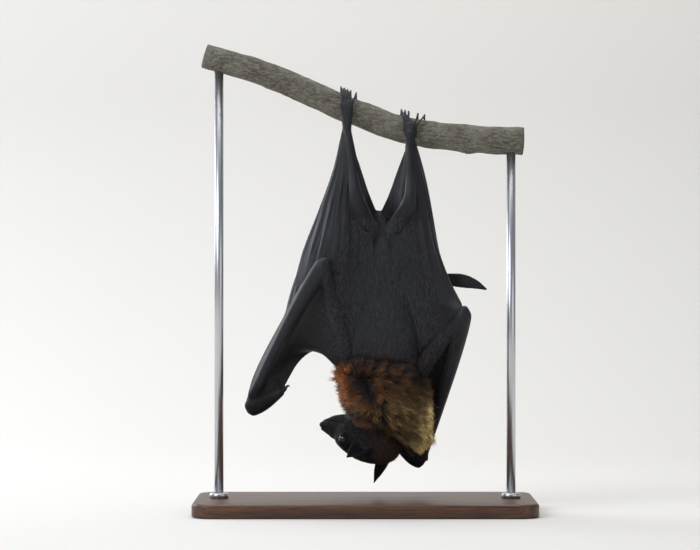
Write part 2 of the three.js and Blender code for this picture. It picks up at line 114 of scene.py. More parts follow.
def add(tree, kind, links=None, stops=None, **settings):
    """Adds a shader node. links gives each socket a value, or a node whose first output feeds it,
    or a socket. stops are a colour ramp's (place, hex colour) pairs."""
    node = tree.nodes.new("ShaderNode" + kind)
    for key, value in settings.items():
        setattr(node, key, value)
    for socket, value in (links or {}).items():
        if isinstance(value, bpy.types.Node):
            value = value.outputs[0]
        if isinstance(value, bpy.types.NodeSocket):
            tree.links.new(value, node.inputs[socket])
        else:
            node.inputs[socket].default_value = value
    if stops:
        for place, _ in stops[2:]:
            node.color_ramp.elements.new(place)
        for element, (place, code) in zip(node.color_ramp.elements, stops):
            element.position = place
            element.color = linear(code)
    return node


def new_material(name):
    """A material with an empty node tree but for its output."""
    made = bpy.data.materials.new(name)
    made.use_nodes = True
    made.node_tree.nodes.clear()
    made.node_tree.nodes.new("ShaderNodeOutputMaterial")
    return made, made.node_tree


def show(tree, shader):
    """Joins a shader to the material's output."""
    tree.links.new(shader.outputs[0], tree.nodes["Material Output"].inputs["Surface"])


# Seamless background paper: matt, warm white. It is clear from behind, so that it hides nothing.
paper, tree = new_material("seamless_paper")
front = add(tree, "BsdfPrincipled", {"Base Color": linear("#dddbd6"), "Roughness": 0.95,
                                     "Specular IOR Level": 0.2})
show(tree, add(tree, "MixShader", {0: add(tree, "NewGeometry").outputs["Backfacing"], 1: front,
                                   2: add(tree, "BsdfTransparent")}))

FLOOR = {"half": 4000, "front": -4500, "bend": 900, "radius": 500, "top": 2600}
# The profile runs back along the floor, round a quarter circle and straight up.
turn = np.linspace(0, np.pi / 2, 24)
sweep = np.concatenate([
    [[FLOOR["front"], 0]],
    np.stack([FLOOR["bend"] + FLOOR["radius"] * np.sin(turn), FLOOR["radius"] * (1 - np.cos(turn))], 1),
    [[FLOOR["bend"] + FLOOR["radius"], FLOOR["top"]]],
])
floor_points = np.zeros((len(sweep), 2, 3))
floor_points[..., 0] = -FLOOR["half"], FLOOR["half"]
floor_points[..., 1:] = sweep[:, None]
piece("floor", floor_points, grid(len(sweep), 2), paper, body=None)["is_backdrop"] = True

# The camera is level with the middle of the model and 3 m behind the animal's back.
EYE_LINE = {"x": -15, "y": -3000, "z": 237}
SENSOR = 36
FRAME_WIDTH = 700  # how wide the picture is at the model, in mm
camera = bpy.data.cameras.new("camera")
camera.sensor_width = SENSOR
camera.lens = SENSOR * -EYE_LINE["y"] / FRAME_WIDTH
camera.clip_end = 50
viewer = bpy.data.objects.new("camera", camera)
viewer.location = [v * MM for v in EYE_LINE.values()]
viewer.rotation_euler = (np.pi / 2, 0, 0)
bpy.context.scene.collection.objects.link(viewer)
bpy.context.scene.camera = viewer


def lamp(name, place, aim, size, power, tint):
    """A square soft lamp at place that faces aim, both in millimetres."""
    light = bpy.data.lights.new(name, "AREA")
    light.size = size * MM
    light.energy = power
    light.color = linear(tint)[:3]
    made = bpy.data.objects.new(name, light)
    place, aim = np.array(place, float) * MM, np.array(aim, float) * MM
    made.location = place
    made.rotation_euler = Vector(aim - place).to_track_quat("-Z", "Y").to_euler()
    bpy.context.scene.collection.objects.link(made)


MIDDLE = (0, 0, 240)
lamp("key", (-1500, -1500, 1500), MIDDLE, 1300, 35, "#f4f6ff")
lamp("fill", (1700, -1500, 500), MIDDLE, 1500, 7, "#ffffff")
lamp("top", (0, 300, 2000), MIDDLE, 1400, 26, "#ffffff")
lamp("rim", (-1500, 1100, 900), MIDDLE, 900, 16, "#eef3ff")

# The room's even light is brighter where it is seen than where it lights the model.
SKY = {"light": 0.31, "seen": 0.25}
world = bpy.data.worlds.new("room")
world.use_nodes = True
sky = world.node_tree
background = sky.nodes["Background"]
background.inputs["Color"].default_value = linear("#e9edf2")
seen = add(sky, "LightPath").outputs["Is Camera Ray"]
lit = add(sky, "Math", {0: seen, 1: SKY["seen"]}, operation="MULTIPLY")
lit = add(sky, "Math", {0: lit, 1: SKY["light"]}, operation="ADD")
sky.links.new(lit.outputs[0], background.inputs["Strength"])
bpy.context.scene.world = world
bpy.context.scene.view_settings.view_transform = "Standard"

# ---------------------------------------------------------------------------------------------
# The perch: a cut length of a live branch, with thin grey-brown bark that has shallow ridges
# along it, a few knobs where twigs were, and two sawn ends.
# ---------------------------------------------------------------------------------------------

BRANCH = np.array([
    [-160, 2, 456], [-125, 0, 446], [-100, -1, 438], [-75, -1, 428], [-50, 0, 417], [-25, 0, 405.5],
    [0, 0, 396], [25, 0, 386], [57, 0, 378.5], [87, 1, 375], [125, 3, 372], [158, 5, 371],
], float)
BRANCH_RADIUS = (12.6, 14.4)  # at its first and last point
BACK = np.array([0.0, -1, 0])


def curve(points, t):
    """Points on a smooth line through the given ones: a uniform Catmull-Rom spline whose ends are
    mirrored, with t from 0 to 1 over the whole line."""
    points = np.asarray(points, float)
    padded = np.concatenate([[2 * points[0] - points[1]], points, [2 * points[-1] - points[-2]]])
    place = np.clip(t, 0, 1) * (len(points) - 1)
    i = np.minimum(place.astype(int), len(points) - 2)
    f = (place - i).reshape(place.shape + (1,) * (points.ndim - 1))
    a, b, c, d = (padded[i + k] for k in range(4))
    return 0.5 * (2 * b + (c - a) * f + (2 * a - 5 * b + 4 * c - d) * f**2 + (3 * b - a - 3 * c + d) * f**3)


def circle(count):
    """Angles round a full turn, without the last."""
    return np.linspace(0, 2 * np.pi, count, endpoint=False)


def unit(v):
    """Vectors scaled to length 1."""
    return v / np.maximum(np.linalg.norm(v, axis=-1, keepdims=True), 1e-9)


def frame_along(line, back, t, facing=None):
    """The middle, the back-facing way and the sideways way of a line at each t."""
    middle = curve(line, t)
    step = 1e-3
    way = unit(curve(line, t + step) - curve(line, t - step)) if facing is None else np.array([facing] * len(t))
    up = unit(back - way * (way @ back)[:, None])
    return middle, up, np.cross(way, up)


def smooth_noise(shape, counts, seed):
    """Soft random heights from -1 to 1 on a grid that wraps in its second direction: random values
    at a few places, joined by smooth curves both ways."""
    values = np.random.default_rng(seed).uniform(-1, 1, counts)
    rows = curve(values, np.linspace(0, 1, shape[0]))
    around = np.concatenate([rows.T, rows.T[:1]])
    return curve(around, np.linspace(0, 1, shape[1] + 1)[:-1]).T


def tube(points):
    """A closed tube from rings of points: (points, triangles). A fan of triangles about a middle
    point closes each of its ends."""
    rows, columns = points.shape[:2]
    j = np.arange(columns)
    after, end = (j + 1) % columns, (rows - 1) * columns
    first = np.stack([after, j, np.full(columns, rows * columns)], 1)
    last = np.stack([end + j, end + after, np.full(columns, rows * columns + 1)], 1)
    return (np.concatenate([points.reshape(-1, 3), points[[0, -1]].mean(axis=1)]),
            np.concatenate([grid(rows, columns, True), first, last]))


# Bark of a smooth-barked tree: cork, dry and matt, weathered grey over brown, with pale lichen
# on top. The ridges are about 3 mm apart.
bark, tree = new_material("weathered_bark")
place = add(tree, "TexCoord").outputs["Object"]
along = add(tree, "Mapping", {"Vector": place, "Scale": (160, 520, 520), "Rotation": (0, 0.25, 0)})
ridges = add(tree, "TexNoise", {"Vector": along, "Scale": 1.0, "Detail": 6, "Roughness": 0.65})
patches = add(tree, "TexNoise", {"Vector": place, "Scale": 45, "Detail": 3})
specks = add(tree, "TexNoise", {"Vector": place, "Scale": 900, "Detail": 3})
brown = add(tree, "ValToRGB", {"Fac": ridges}, stops=[(0.3, "#403c34"), (0.5, "#686459"), (0.72, "#8b877d")])
lichen = add(tree, "ValToRGB", {"Fac": patches}, stops=[(0.45, "#000000"), (0.7, "#8a8a8a")])
bark_colour = add(tree, "Mix", {"Factor": lichen, 6: brown, 7: linear("#a3a297")}, data_type="RGBA")
dots = add(tree, "ValToRGB", {"Fac": specks}, stops=[(0.45, "#ffffff"), (0.75, "#8a8378")])
bark_colour = add(tree, "Mix", {"Factor": 0.8, 6: bark_colour.outputs[2], 7: dots},
                  data_type="RGBA", blend_type="MULTIPLY")
relief = add(tree, "Bump", {"Height": ridges, "Strength": 0.7, "Distance": 1.2 * MM})
show(tree, add(tree, "BsdfPrincipled", {"Base Color": bark_colour.outputs[2], "Roughness": 0.92,
                                        "Normal": relief, "Specular IOR Level": 0.25}))

ROUND = (260, 96)  # points along the branch and round it
BARK = {"under": 0.5, "lumps": 0.5, "ridges": 0.28}  # how far it is in from the solid, and its relief
LENGTH_IN_RADII = 320 / 13
# A knob is a soft round bump: (share along the branch, angle round it, height, spread).
KNOBS = [(0.35, -1.9, 4.5, 0.3), (0.56, -1.6, 5, 0.26), (0.2, 2.3, 2.5, 0.3), (0.86, 0.4, 3, 0.3)]
t, angle = np.linspace(0, 1, ROUND[0]), circle(ROUND[1])
middle, up, wide = frame_along(BRANCH, BACK, t)
radius = np.interp(t, [0, 1], BRANCH_RADIUS)[:, None] - BARK["under"]
radius = (radius + BARK["lumps"] * smooth_noise(ROUND, (26, 7), 1)
          + BARK["ridges"] * smooth_noise(ROUND, (60, 40), 2))
for share, place_round, height, spread in KNOBS:
    round_off = np.angle(np.exp(1j * (angle - place_round)))
    along_off = (t - share)[:, None] * LENGTH_IN_RADII
    radius = radius + height * np.exp(-(round_off**2 + along_off**2) / (2 * spread**2))
rings = (middle[:, None] + radius[..., None]
         * (np.cos(angle)[:, None] * wide[:, None] + np.sin(angle)[:, None] * up[:, None]))
# The saw leaves each end flat, with the bark's edge slightly rounded.
ends = np.concatenate([rings[:1], rings, rings[-1:]])
for end, ring in ((0, rings[0]), (-1, rings[-1])):
    ends[end] = ring.mean(axis=0) + (ring - ring.mean(axis=0)) * 0.93
perch = piece("perch_branch", *tube(ends), bark)
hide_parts("perch")

# ---------------------------------------------------------------------------------------------
# The stand: an oiled walnut board with rounded edges, and two brushed steel rods that run up
# into the branch from small collars.
# ---------------------------------------------------------------------------------------------

BOARD = {"length": 340, "width": 180, "thickness": 14, "corner": 22, "edge": 3}
ROD = {"radius": 4.5, "x": 146}

# Walnut, planed, sanded and oiled: dark brown, straight grain along the board, a satin sheen.
walnut, tree = new_material("oiled_walnut")
place = add(tree, "TexCoord").outputs["Object"]
along = add(tree, "Mapping", {"Vector": place, "Scale": (3, 70, 70)})
grain = add(tree, "TexNoise", {"Vector": along, "Scale": 1.6, "Detail": 7, "Roughness": 0.6, "Distortion": 0.6})
fine = add(tree, "Mapping", {"Vector": place, "Scale": (40, 1400, 1400)})
pores = add(tree, "TexNoise", {"Vector": fine, "Scale": 1.0, "Detail": 3})
wood = add(tree, "ValToRGB", {"Fac": grain}, stops=[(0.3, "#2e1b10"), (0.5, "#4f3220"), (0.7, "#6d4a30")])
dark = add(tree, "ValToRGB", {"Fac": pores}, stops=[(0.36, "#5c5048"), (0.5, "#ffffff")])
wood = add(tree, "Mix", {"Factor": 0.7, 6: wood, 7: dark}, data_type="RGBA", blend_type="MULTIPLY")
relief = add(tree, "Bump", {"Height": pores, "Strength": 0.25, "Distance": 0.2 * MM})
show(tree, add(tree, "BsdfPrincipled", {"Base Color": wood.outputs[2], "Roughness": 0.42, "Normal": relief}))

# The outline is a rectangle with quarter-circle corners. The edge's profile is a half-round.
CORNER_POINTS, EDGE_POINTS = 12, 7
corner = np.linspace(0, np.pi / 2, CORNER_POINTS)
turns = np.concatenate([corner + k * np.pi / 2 for k in range(4)])
half = np.array([BOARD["length"], BOARD["width"]]) / 2 - BOARD["corner"]
centres = np.repeat(half * [[1, 1], [-1, 1], [-1, -1], [1, -1]], CORNER_POINTS, axis=0)
bend = np.linspace(0, np.pi / 2, EDGE_POINTS)
inset = BOARD["edge"] * np.concatenate([1 - np.sin(bend), (1 - np.sin(bend))[::-1]])
height = np.concatenate([
    BOARD["edge"] * (1 - np.cos(bend)), BOARD["thickness"] - BOARD["edge"] * (1 - np.cos(bend))[::-1]])
reach = BOARD["corner"] - inset[:, None, None]
outline = centres + reach * np.stack([np.cos(turns), np.sin(turns)], 1)
board = np.concatenate([outline, np.broadcast_to(height[:, None, None], outline.shape[:2] + (1,))], axis=2)
board = piece("stand_board", *tube(board), walnut)
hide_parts("stand_base")

# Stainless steel rod, ground and brushed round its length: a soft metal sheen.
steel, tree = new_material("brushed_stainless_steel")
place = add(tree, "TexCoord").outputs["Object"]
around = add(tree, "Mapping", {"Vector": place, "Scale": (200, 200, 6000)})
scratches = add(tree, "TexNoise", {"Vector": around, "Scale": 1.0, "Detail": 2})
shine = add(tree, "MapRange", {"Value": scratches, "To Min": 0.24, "To Max": 0.4})
show(tree, add(tree, "BsdfPrincipled", {"Base Color": linear("#c4c6c9"), "Metallic": 1.0, "Roughness": shine}))


def turned(profile, x, sides=48):
    """A profile of (radius, height) pairs turned about a vertical axis at x."""
    r, z = np.array(profile, float)[..., None].transpose(1, 0, 2)
    a = circle(sides)
    return np.stack([x + r * np.cos(a), r * np.sin(a), z + 0 * a], axis=-1)


# A collar's profile, out from the rod and up from the board, with its upper edge bevelled.
COLLAR = np.array([(0.2, 0), (5, 0), (5, 4), (4.2, 5), (0.2, 5)])
for name, side in (("right", -1), ("left", 1)):
    low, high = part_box(f"stand_rod_{name}")
    ends = [(ROD["radius"], end[2] / MM) for end in (low, high)]
    rod = piece(f"stand_rod_{name}_round", *tube(turned(ends, side * ROD["x"])), steel)
    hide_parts(f"stand_rod_{name}")
    profile = COLLAR + [ROD["radius"], BOARD["thickness"]]
    collar = piece(f"stand_collar_{name}", *tube(turned(profile, side * ROD["x"])), steel)

# ---------------------------------------------------------------------------------------------
# The skin: one unbroken surface over the trunk, neck, head, limbs and wing membranes, with eye
# lids, ears, nostrils, lips, finger bones and toes. The parts are closed shapes a little too fat;
# they are melted into one, smoothed, and drawn in again.
# ---------------------------------------------------------------------------------------------

V = np.array
SWELL = 0.36  # how much fatter each shape is until they are melted
VOXEL = 0.58
MEMBRANE = 1.4  # its thickness
MIDLINE = 13  # x between the two feet
# How far the skin lies in from the solids, to leave room for the coat.
COAT = {"trunk": 3, "ruff": 12, "head": 2.4, "arm": 1.8, "leg": 1.6, "bare": 0.2}

# The skeleton's joints on each side. The right side is the one at -X.
LIMBS = {
    "right": dict(side=-1, ankle=(-18, -20, 385), knee=(-9, -35, 316), hip=(5, -8, 266), shoulder=(-13, 2, 138),
                  elbow=(-41, -37, 247), wrist=(-112, 20, 113), thumb=(-84, 15, 119), hand=(-115, 19, 103),
                  knuckles=(-69, 6, 220), wing_top=(-55, 8, 263), crotch=(13, -7, 296), splay=2.5),
    "left": dict(side=1, ankle=(44, -20, 376), knee=(44, -34, 312), hip=(27, -8, 266), shoulder=(44, 4, 128),
                 elbow=(97, -40, 199), wrist=(58, 42, 57), thumb=(36, 40, 60), hand=(58, 43, 49),
                 knuckles=(88, 0, 172), wing_top=(74, 8, 246), crotch=(14, -7, 296), splay=0),
}
for limb in LIMBS.values():
    limb.update({joint: V(place, float) for joint, place in limb.items() if isinstance(place, tuple)})

# Stations of an oval section: middle, half width, half depth to the back, half depth to the belly.
TRUNK = [((13, -7, 302), 4, 4, 4), ((14, -7, 290), 16, 12, 12), ((16, -6, 268), 25, 19, 21),
         ((18, -4, 238), 31, 25, 29), ((19, -2, 206), 36, 30, 35), ((20, 0, 176), 40, 33, 38),
         ((20, 1, 148), 40, 33, 37), ((20, 1, 125), 36, 30, 33)]
NECK = [((14, 0, 160), 38, 34, 35), ((16, -1, 151), 49, 39, 39), ((18, -3, 138), 50, 43, 41),
        ((21, -4, 118), 48.5, 44, 41), ((24, -4, 101), 47.5, 41, 38), ((29, -3, 90), 42, 36, 34),
        ((37, -2, 82), 34, 31, 31), ((43, -2, 75), 27, 27, 28), ((46, -1, 65), 20, 20, 22),
        ((47, 0, 57), 11, 11, 12), ((47, 0, 54), 3, 3, 3)]

# The head's own axes, and its sections: forward, up, half width, half depth to crown and throat.
HEAD = {"centre": V([4.8, 4, 69]), "nose": V([-0.922, 0.385, 0.035]), "right": V([-0.364, -0.896, 0.253]),
        "crown": V([-0.129, -0.221, -0.967])}
PROFILE = [(56.8, -14.5, 3.5, 3.4, 3), (54.5, -15, 6.4, 7, 6.6), (48, -15, 8.6, 10.8, 10.2),
           (41, -14.5, 10.4, 14, 14.4), (33, -12.5, 12.5, 15.4, 18.4), (26, -9.5, 16, 19, 21.6),
           (17, -6.5, 19, 22, 23.4), (8, -4.5, 20.5, 24.6, 23), (-5, -3, 21, 25.6, 22),
           (-17, -3, 19, 25, 20), (-27, -3, 14, 20, 15), (-33, -3, 6, 9, 6)]
DOWN = V([0.0, 0, -1])


def ease(low, high, x):
    """0 below low, 1 above high, and a smooth step between. It falls where low is over high."""
    t = np.clip((x - low) / (high - low), 0, 1)
    return t * t * (3 - 2 * t)


def on_head(forward, right, up):
    """Points given in the head's own axes."""
    f, r, u = (np.asarray(v, float)[..., None] for v in (forward, right, up))
    return HEAD["centre"] + f * HEAD["nose"] + r * HEAD["right"] + u * HEAD["crown"]


def in_head(points):
    """Points as forward, right and up in the head's own axes."""
    off = points - HEAD["centre"]
    return off @ HEAD["nose"], off @ HEAD["right"], off @ HEAD["crown"]


def ovals(stations, back, t, angle, grow=0.0, facing=None):
    """Points of an oval section carried along the smooth line of the stations' middles: two half
    ellipses, one to the back and one to the belly. t is the place along, angle the place round."""
    middle, up, wide = frame_along([s[0] for s in stations], back, t, facing)
    sizes = np.maximum(curve([(s[1], s[2], s[-1]) for s in stations], t) + grow, 0.3)
    depth = np.where(np.sin(angle) > 0, sizes[..., 1], sizes[..., 2])
    return middle + (sizes[..., 0] * np.cos(angle))[..., None] * wide + (depth * np.sin(angle))[..., None] * up


def loft(stations, back=BACK, grow=0.0, facing=None, rows=40, around=32):
    """A closed tube of oval sections."""
    t, angle = cells(np.linspace(0, 1, rows), circle(around))
    points = ovals(stations, back, t.ravel(), angle.ravel(), grow, facing)
    return tube(points.reshape(rows, around, 3))


def normals_of(sheet):
    """Unit normals of a grid of points, from its steps both ways."""
    return unit(np.cross(np.gradient(sheet, axis=0), np.gradient(sheet, axis=1)))


def slab(middle, half):
    """A closed sheet about a grid of points, half thick to each side."""
    rows, columns = middle.shape[:2]
    normal = normals_of(middle)
    half = np.broadcast_to(np.asarray(half, float), (rows, columns))[..., None]
    points = np.concatenate([(middle + half * normal).reshape(-1, 3), (middle - half * normal).reshape(-1, 3)])
    index = np.arange(rows * columns).reshape(rows, columns)
    rim = np.concatenate([index[0, :-1], index[:-1, -1], index[-1, :0:-1], index[:0:-1, 0]])
    after, other = np.roll(rim, -1), rows * columns
    faces = grid(rows, columns)
    wall = [np.stack([rim, rim + other, after + other], 1), np.stack([rim, after + other, after], 1)]
    return points, np.concatenate([faces, faces[:, ::-1] + other, *wall])


def through(rails, u, v):
    """The surface through several lines: smooth along each with v, and from line to line with u."""
    lines = curve(np.transpose(np.asarray(rails, float), (1, 0, 2)), v)
    return curve(np.transpose(lines, (1, 0, 2)), u)


def bar(a, b, share):
    """The point at a share of the way from a to b."""
    return a + (b - a) * share


def forearm_point(limb, share):
    """A point on the slightly bent middle line of the forearm."""
    return bar(limb["elbow"], limb["wrist"], share) + V([limb["side"] * 4 * np.sin(np.pi * share), 0, 0])


def leg_stations(limb):
    """From hip to ankle."""
    hip, knee, ankle = limb["hip"], limb["knee"], limb["ankle"]
    return [(hip, 14, 14), (bar(hip, knee, 0.5), 12, 12), (knee, 8, 8), (bar(knee, ankle, 0.45), 5.6, 5.6),
            (ankle, 4.4, 4.4)]


def arm_stations(limb):
    """The upper arm, from shoulder to elbow."""
    a, b = limb["shoulder"], limb["elbow"]
    return [(a, 14, 14), (bar(a, b, 0.45), 9.5, 9.5), (b, 8, 8), (bar(a, b, 1.05), 3.2, 3.2)]


def thumb_point(limb, share, drop=0.0):
    """A point along the free end of the thumb."""
    way = unit(unit(limb["thumb"] - limb["hand"]) + V([0, -0.15, 0.38]))
    return limb["thumb"] + way * share * 12 + V([0, drop, drop])


def branch_at(x):
    """The branch's middle, the way it runs and its radius where x is."""
    t = np.linspace(0, 1, 4001)
    line = curve(BRANCH, t)
    i = int(np.argmin(np.abs(line[:, 0] - x)))
    return line[i], unit(line[i + 1] - line[i]), np.interp(t[i], [0, 1], BRANCH_RADIUS)


# Where the five toes grip the branch, in steps of a toe's width from the middle of the foot. They
# stand closer together at the root, and their knuckles rise over the rest.
TOES = {"right": (-1.2, -0.55, 0.1, 0.75, 1.85), "left": (-1.5, -0.8, -0.1, 1.7, 3.0)}
TOE = {"radius": 1.0, "off_branch": 3.6, "at_root": 3.1, "at_top": 5.3, "sole": (-5, 7), "knuckle": 1.6}


def toe_line(perch_middle, way, radius, place, turns):
    """Points of a toe that runs up the near side of the branch, over its top and down behind. The
    knuckle stands out a third of the way."""
    root, top = np.clip(place * TOE["at_root"], *TOE["sole"]), place * TOE["at_top"]
    out = root + (top - root) * ease(0.05, 0.42, turns)
    a = np.pi * (1 - turns)
    reach = radius + TOE["off_branch"] + TOE["knuckle"] * np.exp(-((turns - 0.43) / 0.2) ** 2)
    arc = np.stack([0 * a, np.cos(a) * reach, np.sin(a) * reach / way[0]], 1)
    return perch_middle + way * out[:, None] + arc


def fingers_stations(limb):
    """The folded finger bones beside the forearm, from the wrist to the wing's top, and the way
    their flat side faces."""
    elbow, wrist, knuckles, top = limb["elbow"], limb["wrist"], limb["knuckles"], limb["wing_top"]
    bone = unit(wrist - elbow)
    out = knuckles - elbow
    out = unit(out - bone * (out @ bone))
    off = limb["splay"]
    stations = [(bar(limb["hand"], wrist, 0.2) + out * (3 + off), 4, 3),
                (bar(wrist, elbow, 0.06) + out * (8 + off), 8, 5.5),
                (bar(wrist, elbow, 0.3) + out * (13 + off), 9, 5.5),
                (bar(wrist, elbow, 0.55) + out * 14, 9, 5.5),
                (knuckles, 8, 5.5), (bar(knuckles, top, 0.55), 6.5, 4.5), (top, 3.5, 2.6)]
    return stations, unit(np.cross(bone, out))


# Lines down the side membranes, from the leg's edge to the arm's: x, y and z from top to bottom.
WEB_RAILS = {
    "right": [
        [[-14, -19, 384], [-5, -29, 340], [2, -29, 300], [8, -23, 262], [7, -25, 210], [6, -22, 150]],
        [[-16, -19, 384], [-11, -29, 340], [-8, -30, 300], [-6, -27, 262], [-11, -23, 210], [-14, -10, 150]],
        [[-18, -20, 384], [-19, -28, 340], [-22, -31, 302], [-25, -34, 268], [-30, -31, 225], [-24, -16, 185]],
        [[-20.5, -19, 384], [-26, -24, 340], [-36, -24, 304], [-43, -26, 274], [-50, -20, 246], [-56, -10, 216]],
        [[-22.5, -18, 384], [-32, -18, 342], [-47, -12, 300], [-59, -4, 270], [-66, 2, 248], [-74, 7, 216]],
    ],
    "left": [
        [[40, -19, 374], [37, -29, 335], [33, -29, 300], [27, -23, 262], [31, -25, 210], [35, -22, 146]],
        [[42, -19, 374], [43, -29, 335], [42, -30, 300], [42, -26, 262], [46, -22, 210], [48, -8, 146]],
        [[44.5, -20, 374], [50, -27, 335], [54, -29, 300], [60, -30, 262], [68, -32, 215], [74, -24, 168]],
        [[47, -20, 374], [55, -22, 335], [62, -20, 300], [71, -20, 262], [84, -26, 228], [96, -39, 202]],
        [[49, -18, 374], [60, -8, 335], [67, -2, 300], [72, 4, 266], [78, 4, 240], [86, -10, 216]],
    ],
}
# The free edge of the membrane ahead of each arm, from the shoulder to the thumb.
FORE_EDGE = {
    "right": [[-26, -9, 147], [-36, -3.3, 155], [-49, 9, 161.5], [-66, 14, 149], [-83, 15, 120]],
    "left": [[60, -2, 150], [58, 10, 122], [52, 20, 105], [44, 30, 84], [36, 38, 62]],
}
# The loose tip of each wing: its middle line, its half widths, and the way it faces.
TIP_LINE = {
    "right": [[-50, 12, 256], [-44, 17, 244], [-42, 21, 222], [-46, 25, 196], [-53, 27, 174]],
    "left": [[73, 10, 234], [84, 8, 232.5], [98, 6, 231], [111, 5, 227.5], [122.5, 5, 222]],
}
TIP_HALF = {"right": [2.2, 4.6, 5.6, 4.2, 0.7], "left": [3.5, 6.6, 7.4, 5, 0.8]}
TIP_FACE = {"right": V([-0.2, 1, 0]), "left": V([0, -1, 0.25])}


def side_web(name, u, v):
    """The membrane from the ankle and flank to the arm, with soft folds that fan out from the
    ankle: two sine waves across it, higher where it is wide."""
    flat = through(WEB_RAILS[name], u, v)
    across, down = cells(u, v)
    wave = np.sin(2 * np.pi * (7 * across + 0.5 * down)) + 0.6 * np.sin(2 * np.pi * (16.3 * across - down) + 1)
    shown = ease(0, 0.16, down) * ease(0.9, 0.55, down) * ease(0.2, 0.5, across) * ease(1, 0.88, across)
    return flat + (wave * shown)[..., None] * normals_of(flat)


def fore_web(name, u, v):
    """The membrane ahead of the arm, from the upper arm and shoulder to the forearm and thumb. It
    sags 3 mm to the belly side: a half sine wave along it and across it."""
    limb = LIMBS[name]
    arm = [bar(limb["elbow"], limb["shoulder"], s) for s in (0.04, 0.4)]
    outer = V([*arm, *V(FORE_EDGE[name], float)])
    share = np.linspace(0, 1, len(outer))
    bone = V([bar(limb["elbow"], limb["wrist"], 0.05 + 0.95 * s) for s in share])
    sag = V([0.0, 3, 0]) * np.sin(np.pi * share)[:, None]
    rails = [bone + (outer - bone) * k + sag * np.sin(np.pi * k) for k in (0, 0.33, 0.67, 1)]
    return through(rails, u, v)


def tail_web(limb, u, v):
    """The narrow membrane along the inside of a leg, from the ankle's spur to the rump."""
    side = limb["side"]
    spur = limb["ankle"] + V([-side * 6, 1, -14])
    hip, knee, ankle, knee_at = limb["hip"], limb["knee"], limb["ankle"], 0.62

    def bone(t):
        return bar(ankle, knee, t / knee_at) if t < knee_at else bar(knee, hip, (t - knee_at) / (1 - knee_at))

    def inner(t, out=1.5):
        return bar(spur, limb["crotch"], t) + V([side * out, 0, 0])

    places = (0.1, 0.4, 0.7, 1)
    leg = [bone(t) for t in places]
    middle = [bar(bone(t), inner(t), 0.55) + V([0, 2, 0]) for t in places]
    edge = [inner(t) for t in (0.02, 0.35, 0.68)] + [inner(1, -1)]
    return through([leg, middle, edge], u, v)


# Where each side's ear joins the head, its tip, and the way that its hollow faces.
EAR_ROOT = {-1: on_head(-3, 15.5, 3.4), 1: on_head(-13, -15.5, 3.4)}
EAR_TIP = {-1: V([-18.0, -31, 57]), 1: V([9.2, 24, 28.4])}
EAR_FACE = {-1: V([-0.35, -1, 0.35]), 1: V([-0.7, 0.9, -0.05])}
EAR = {"half": 8.4, "stretch": 1.05, "wall": 0.55, "rim": 0.45}  # the stretch makes up for melting


def ear(side, rows=40, columns=28):
    """A cupped, pointed leaf: its section is an arc, nearly a half circle at the root and flatter
    at the tip, with a rolled rim."""
    root = EAR_ROOT[side]
    way = EAR["stretch"] * (EAR_TIP[side] - root)
    axis = unit(way)
    ahead = unit(EAR_FACE[side] - axis * (EAR_FACE[side] @ axis))
    wide = np.cross(axis, ahead)
    v, a = cells(np.linspace(-0.05, 1, rows), np.linspace(0, 1, columns))
    v_in = np.maximum(v, 0)
    half = EAR["half"] * (1.05 - v_in**2.2) * (0.72 + 1.44 * v_in * (1 - v_in))
    roll = 1.15 * (1 - 0.55 * v_in)
    turn = (2 * a - 1) * roll
    x, y = half * np.sin(turn) / np.sin(roll), half * (np.cos(roll) - np.cos(turn)) / np.sin(roll)
    leaf = root + v[..., None] * way + x[..., None] * wide + y[..., None] * ahead
    return slab(leaf, EAR["wall"] + SWELL + EAR["rim"] * ease(0.8, 1, np.abs(2 * a - 1)))


EYE = {"at": (22.4, 12.2, 0.4), "radius": 6.3}


def eye_axes(side):
    """The eye's centre, the way it looks, and the two ways across it: towards the nose and up."""
    f, r, u = EYE["at"]
    centre = on_head(f, -side * r, u)
    look = unit(-side * HEAD["right"] + 0.34 * HEAD["nose"] + 0.1 * HEAD["crown"])
    ahead = unit(HEAD["nose"] - look * (HEAD["nose"] @ look))
    return centre, look, ahead, np.cross(look, ahead) * side


def on_ball(side, polar, a, radius):
    """Points about the eye's centre: polar is the angle from where it looks, a the turn about it."""
    centre, look, ahead, above = eye_axes(side)
    way = (np.cos(polar)[..., None] * look
           + np.sin(polar)[..., None] * (np.cos(a)[..., None] * ahead + np.sin(a)[..., None] * above))
    return centre + radius[..., None] * way


# Half the opening's height and what its length adds, both in degrees; how far back the lids reach,
# in radians; how far their middle is off the ball, and half how thick they are, in millimetres.
LID = {"half_high": 13, "longer": 22, "back_to": 2.0, "off_ball": 0.75, "half_thick": 0.5}


def lids(side):
    """A ring of skin on the eyeball round an almond opening: a loop in section that runs from the
    opening's edge back under the brow and in again."""
    around, section = 64, 20
    a, s = cells(circle(around), circle(section))
    opening = np.radians(LID["half_high"] + LID["longer"] * np.abs(np.cos(a)) ** 1.5)
    reach, thick = (LID["back_to"] - opening) / 2, LID["half_thick"] + SWELL
    polar = opening + thick / 7 + reach - reach * np.cos(s)
    points = on_ball(side, polar, a, EYE["radius"] + LID["off_ball"] + thick * np.sin(s))
    return points.reshape(-1, 3), grid(around + 1, section, wrap=True) % (around * section)


def chain(places, *sizes):
    """Stations of an oval section from points, their half widths and, where they differ, depths."""
    return list(zip(places, sizes[0], sizes[-1]))


def head_and_trunk():
    """The closed shapes of the body without its limbs."""
    head = [(on_head(f, 0, u), wide, crown, throat) for f, u, wide, crown, throat in PROFILE]
    return [loft(TRUNK, BACK, SWELL - COAT["trunk"], rows=60, around=48),
            loft(NECK[1:], BACK, SWELL - COAT["ruff"], DOWN, rows=50, around=48),
            loft(head, HEAD["crown"], SWELL - COAT["head"], rows=70, around=48)]


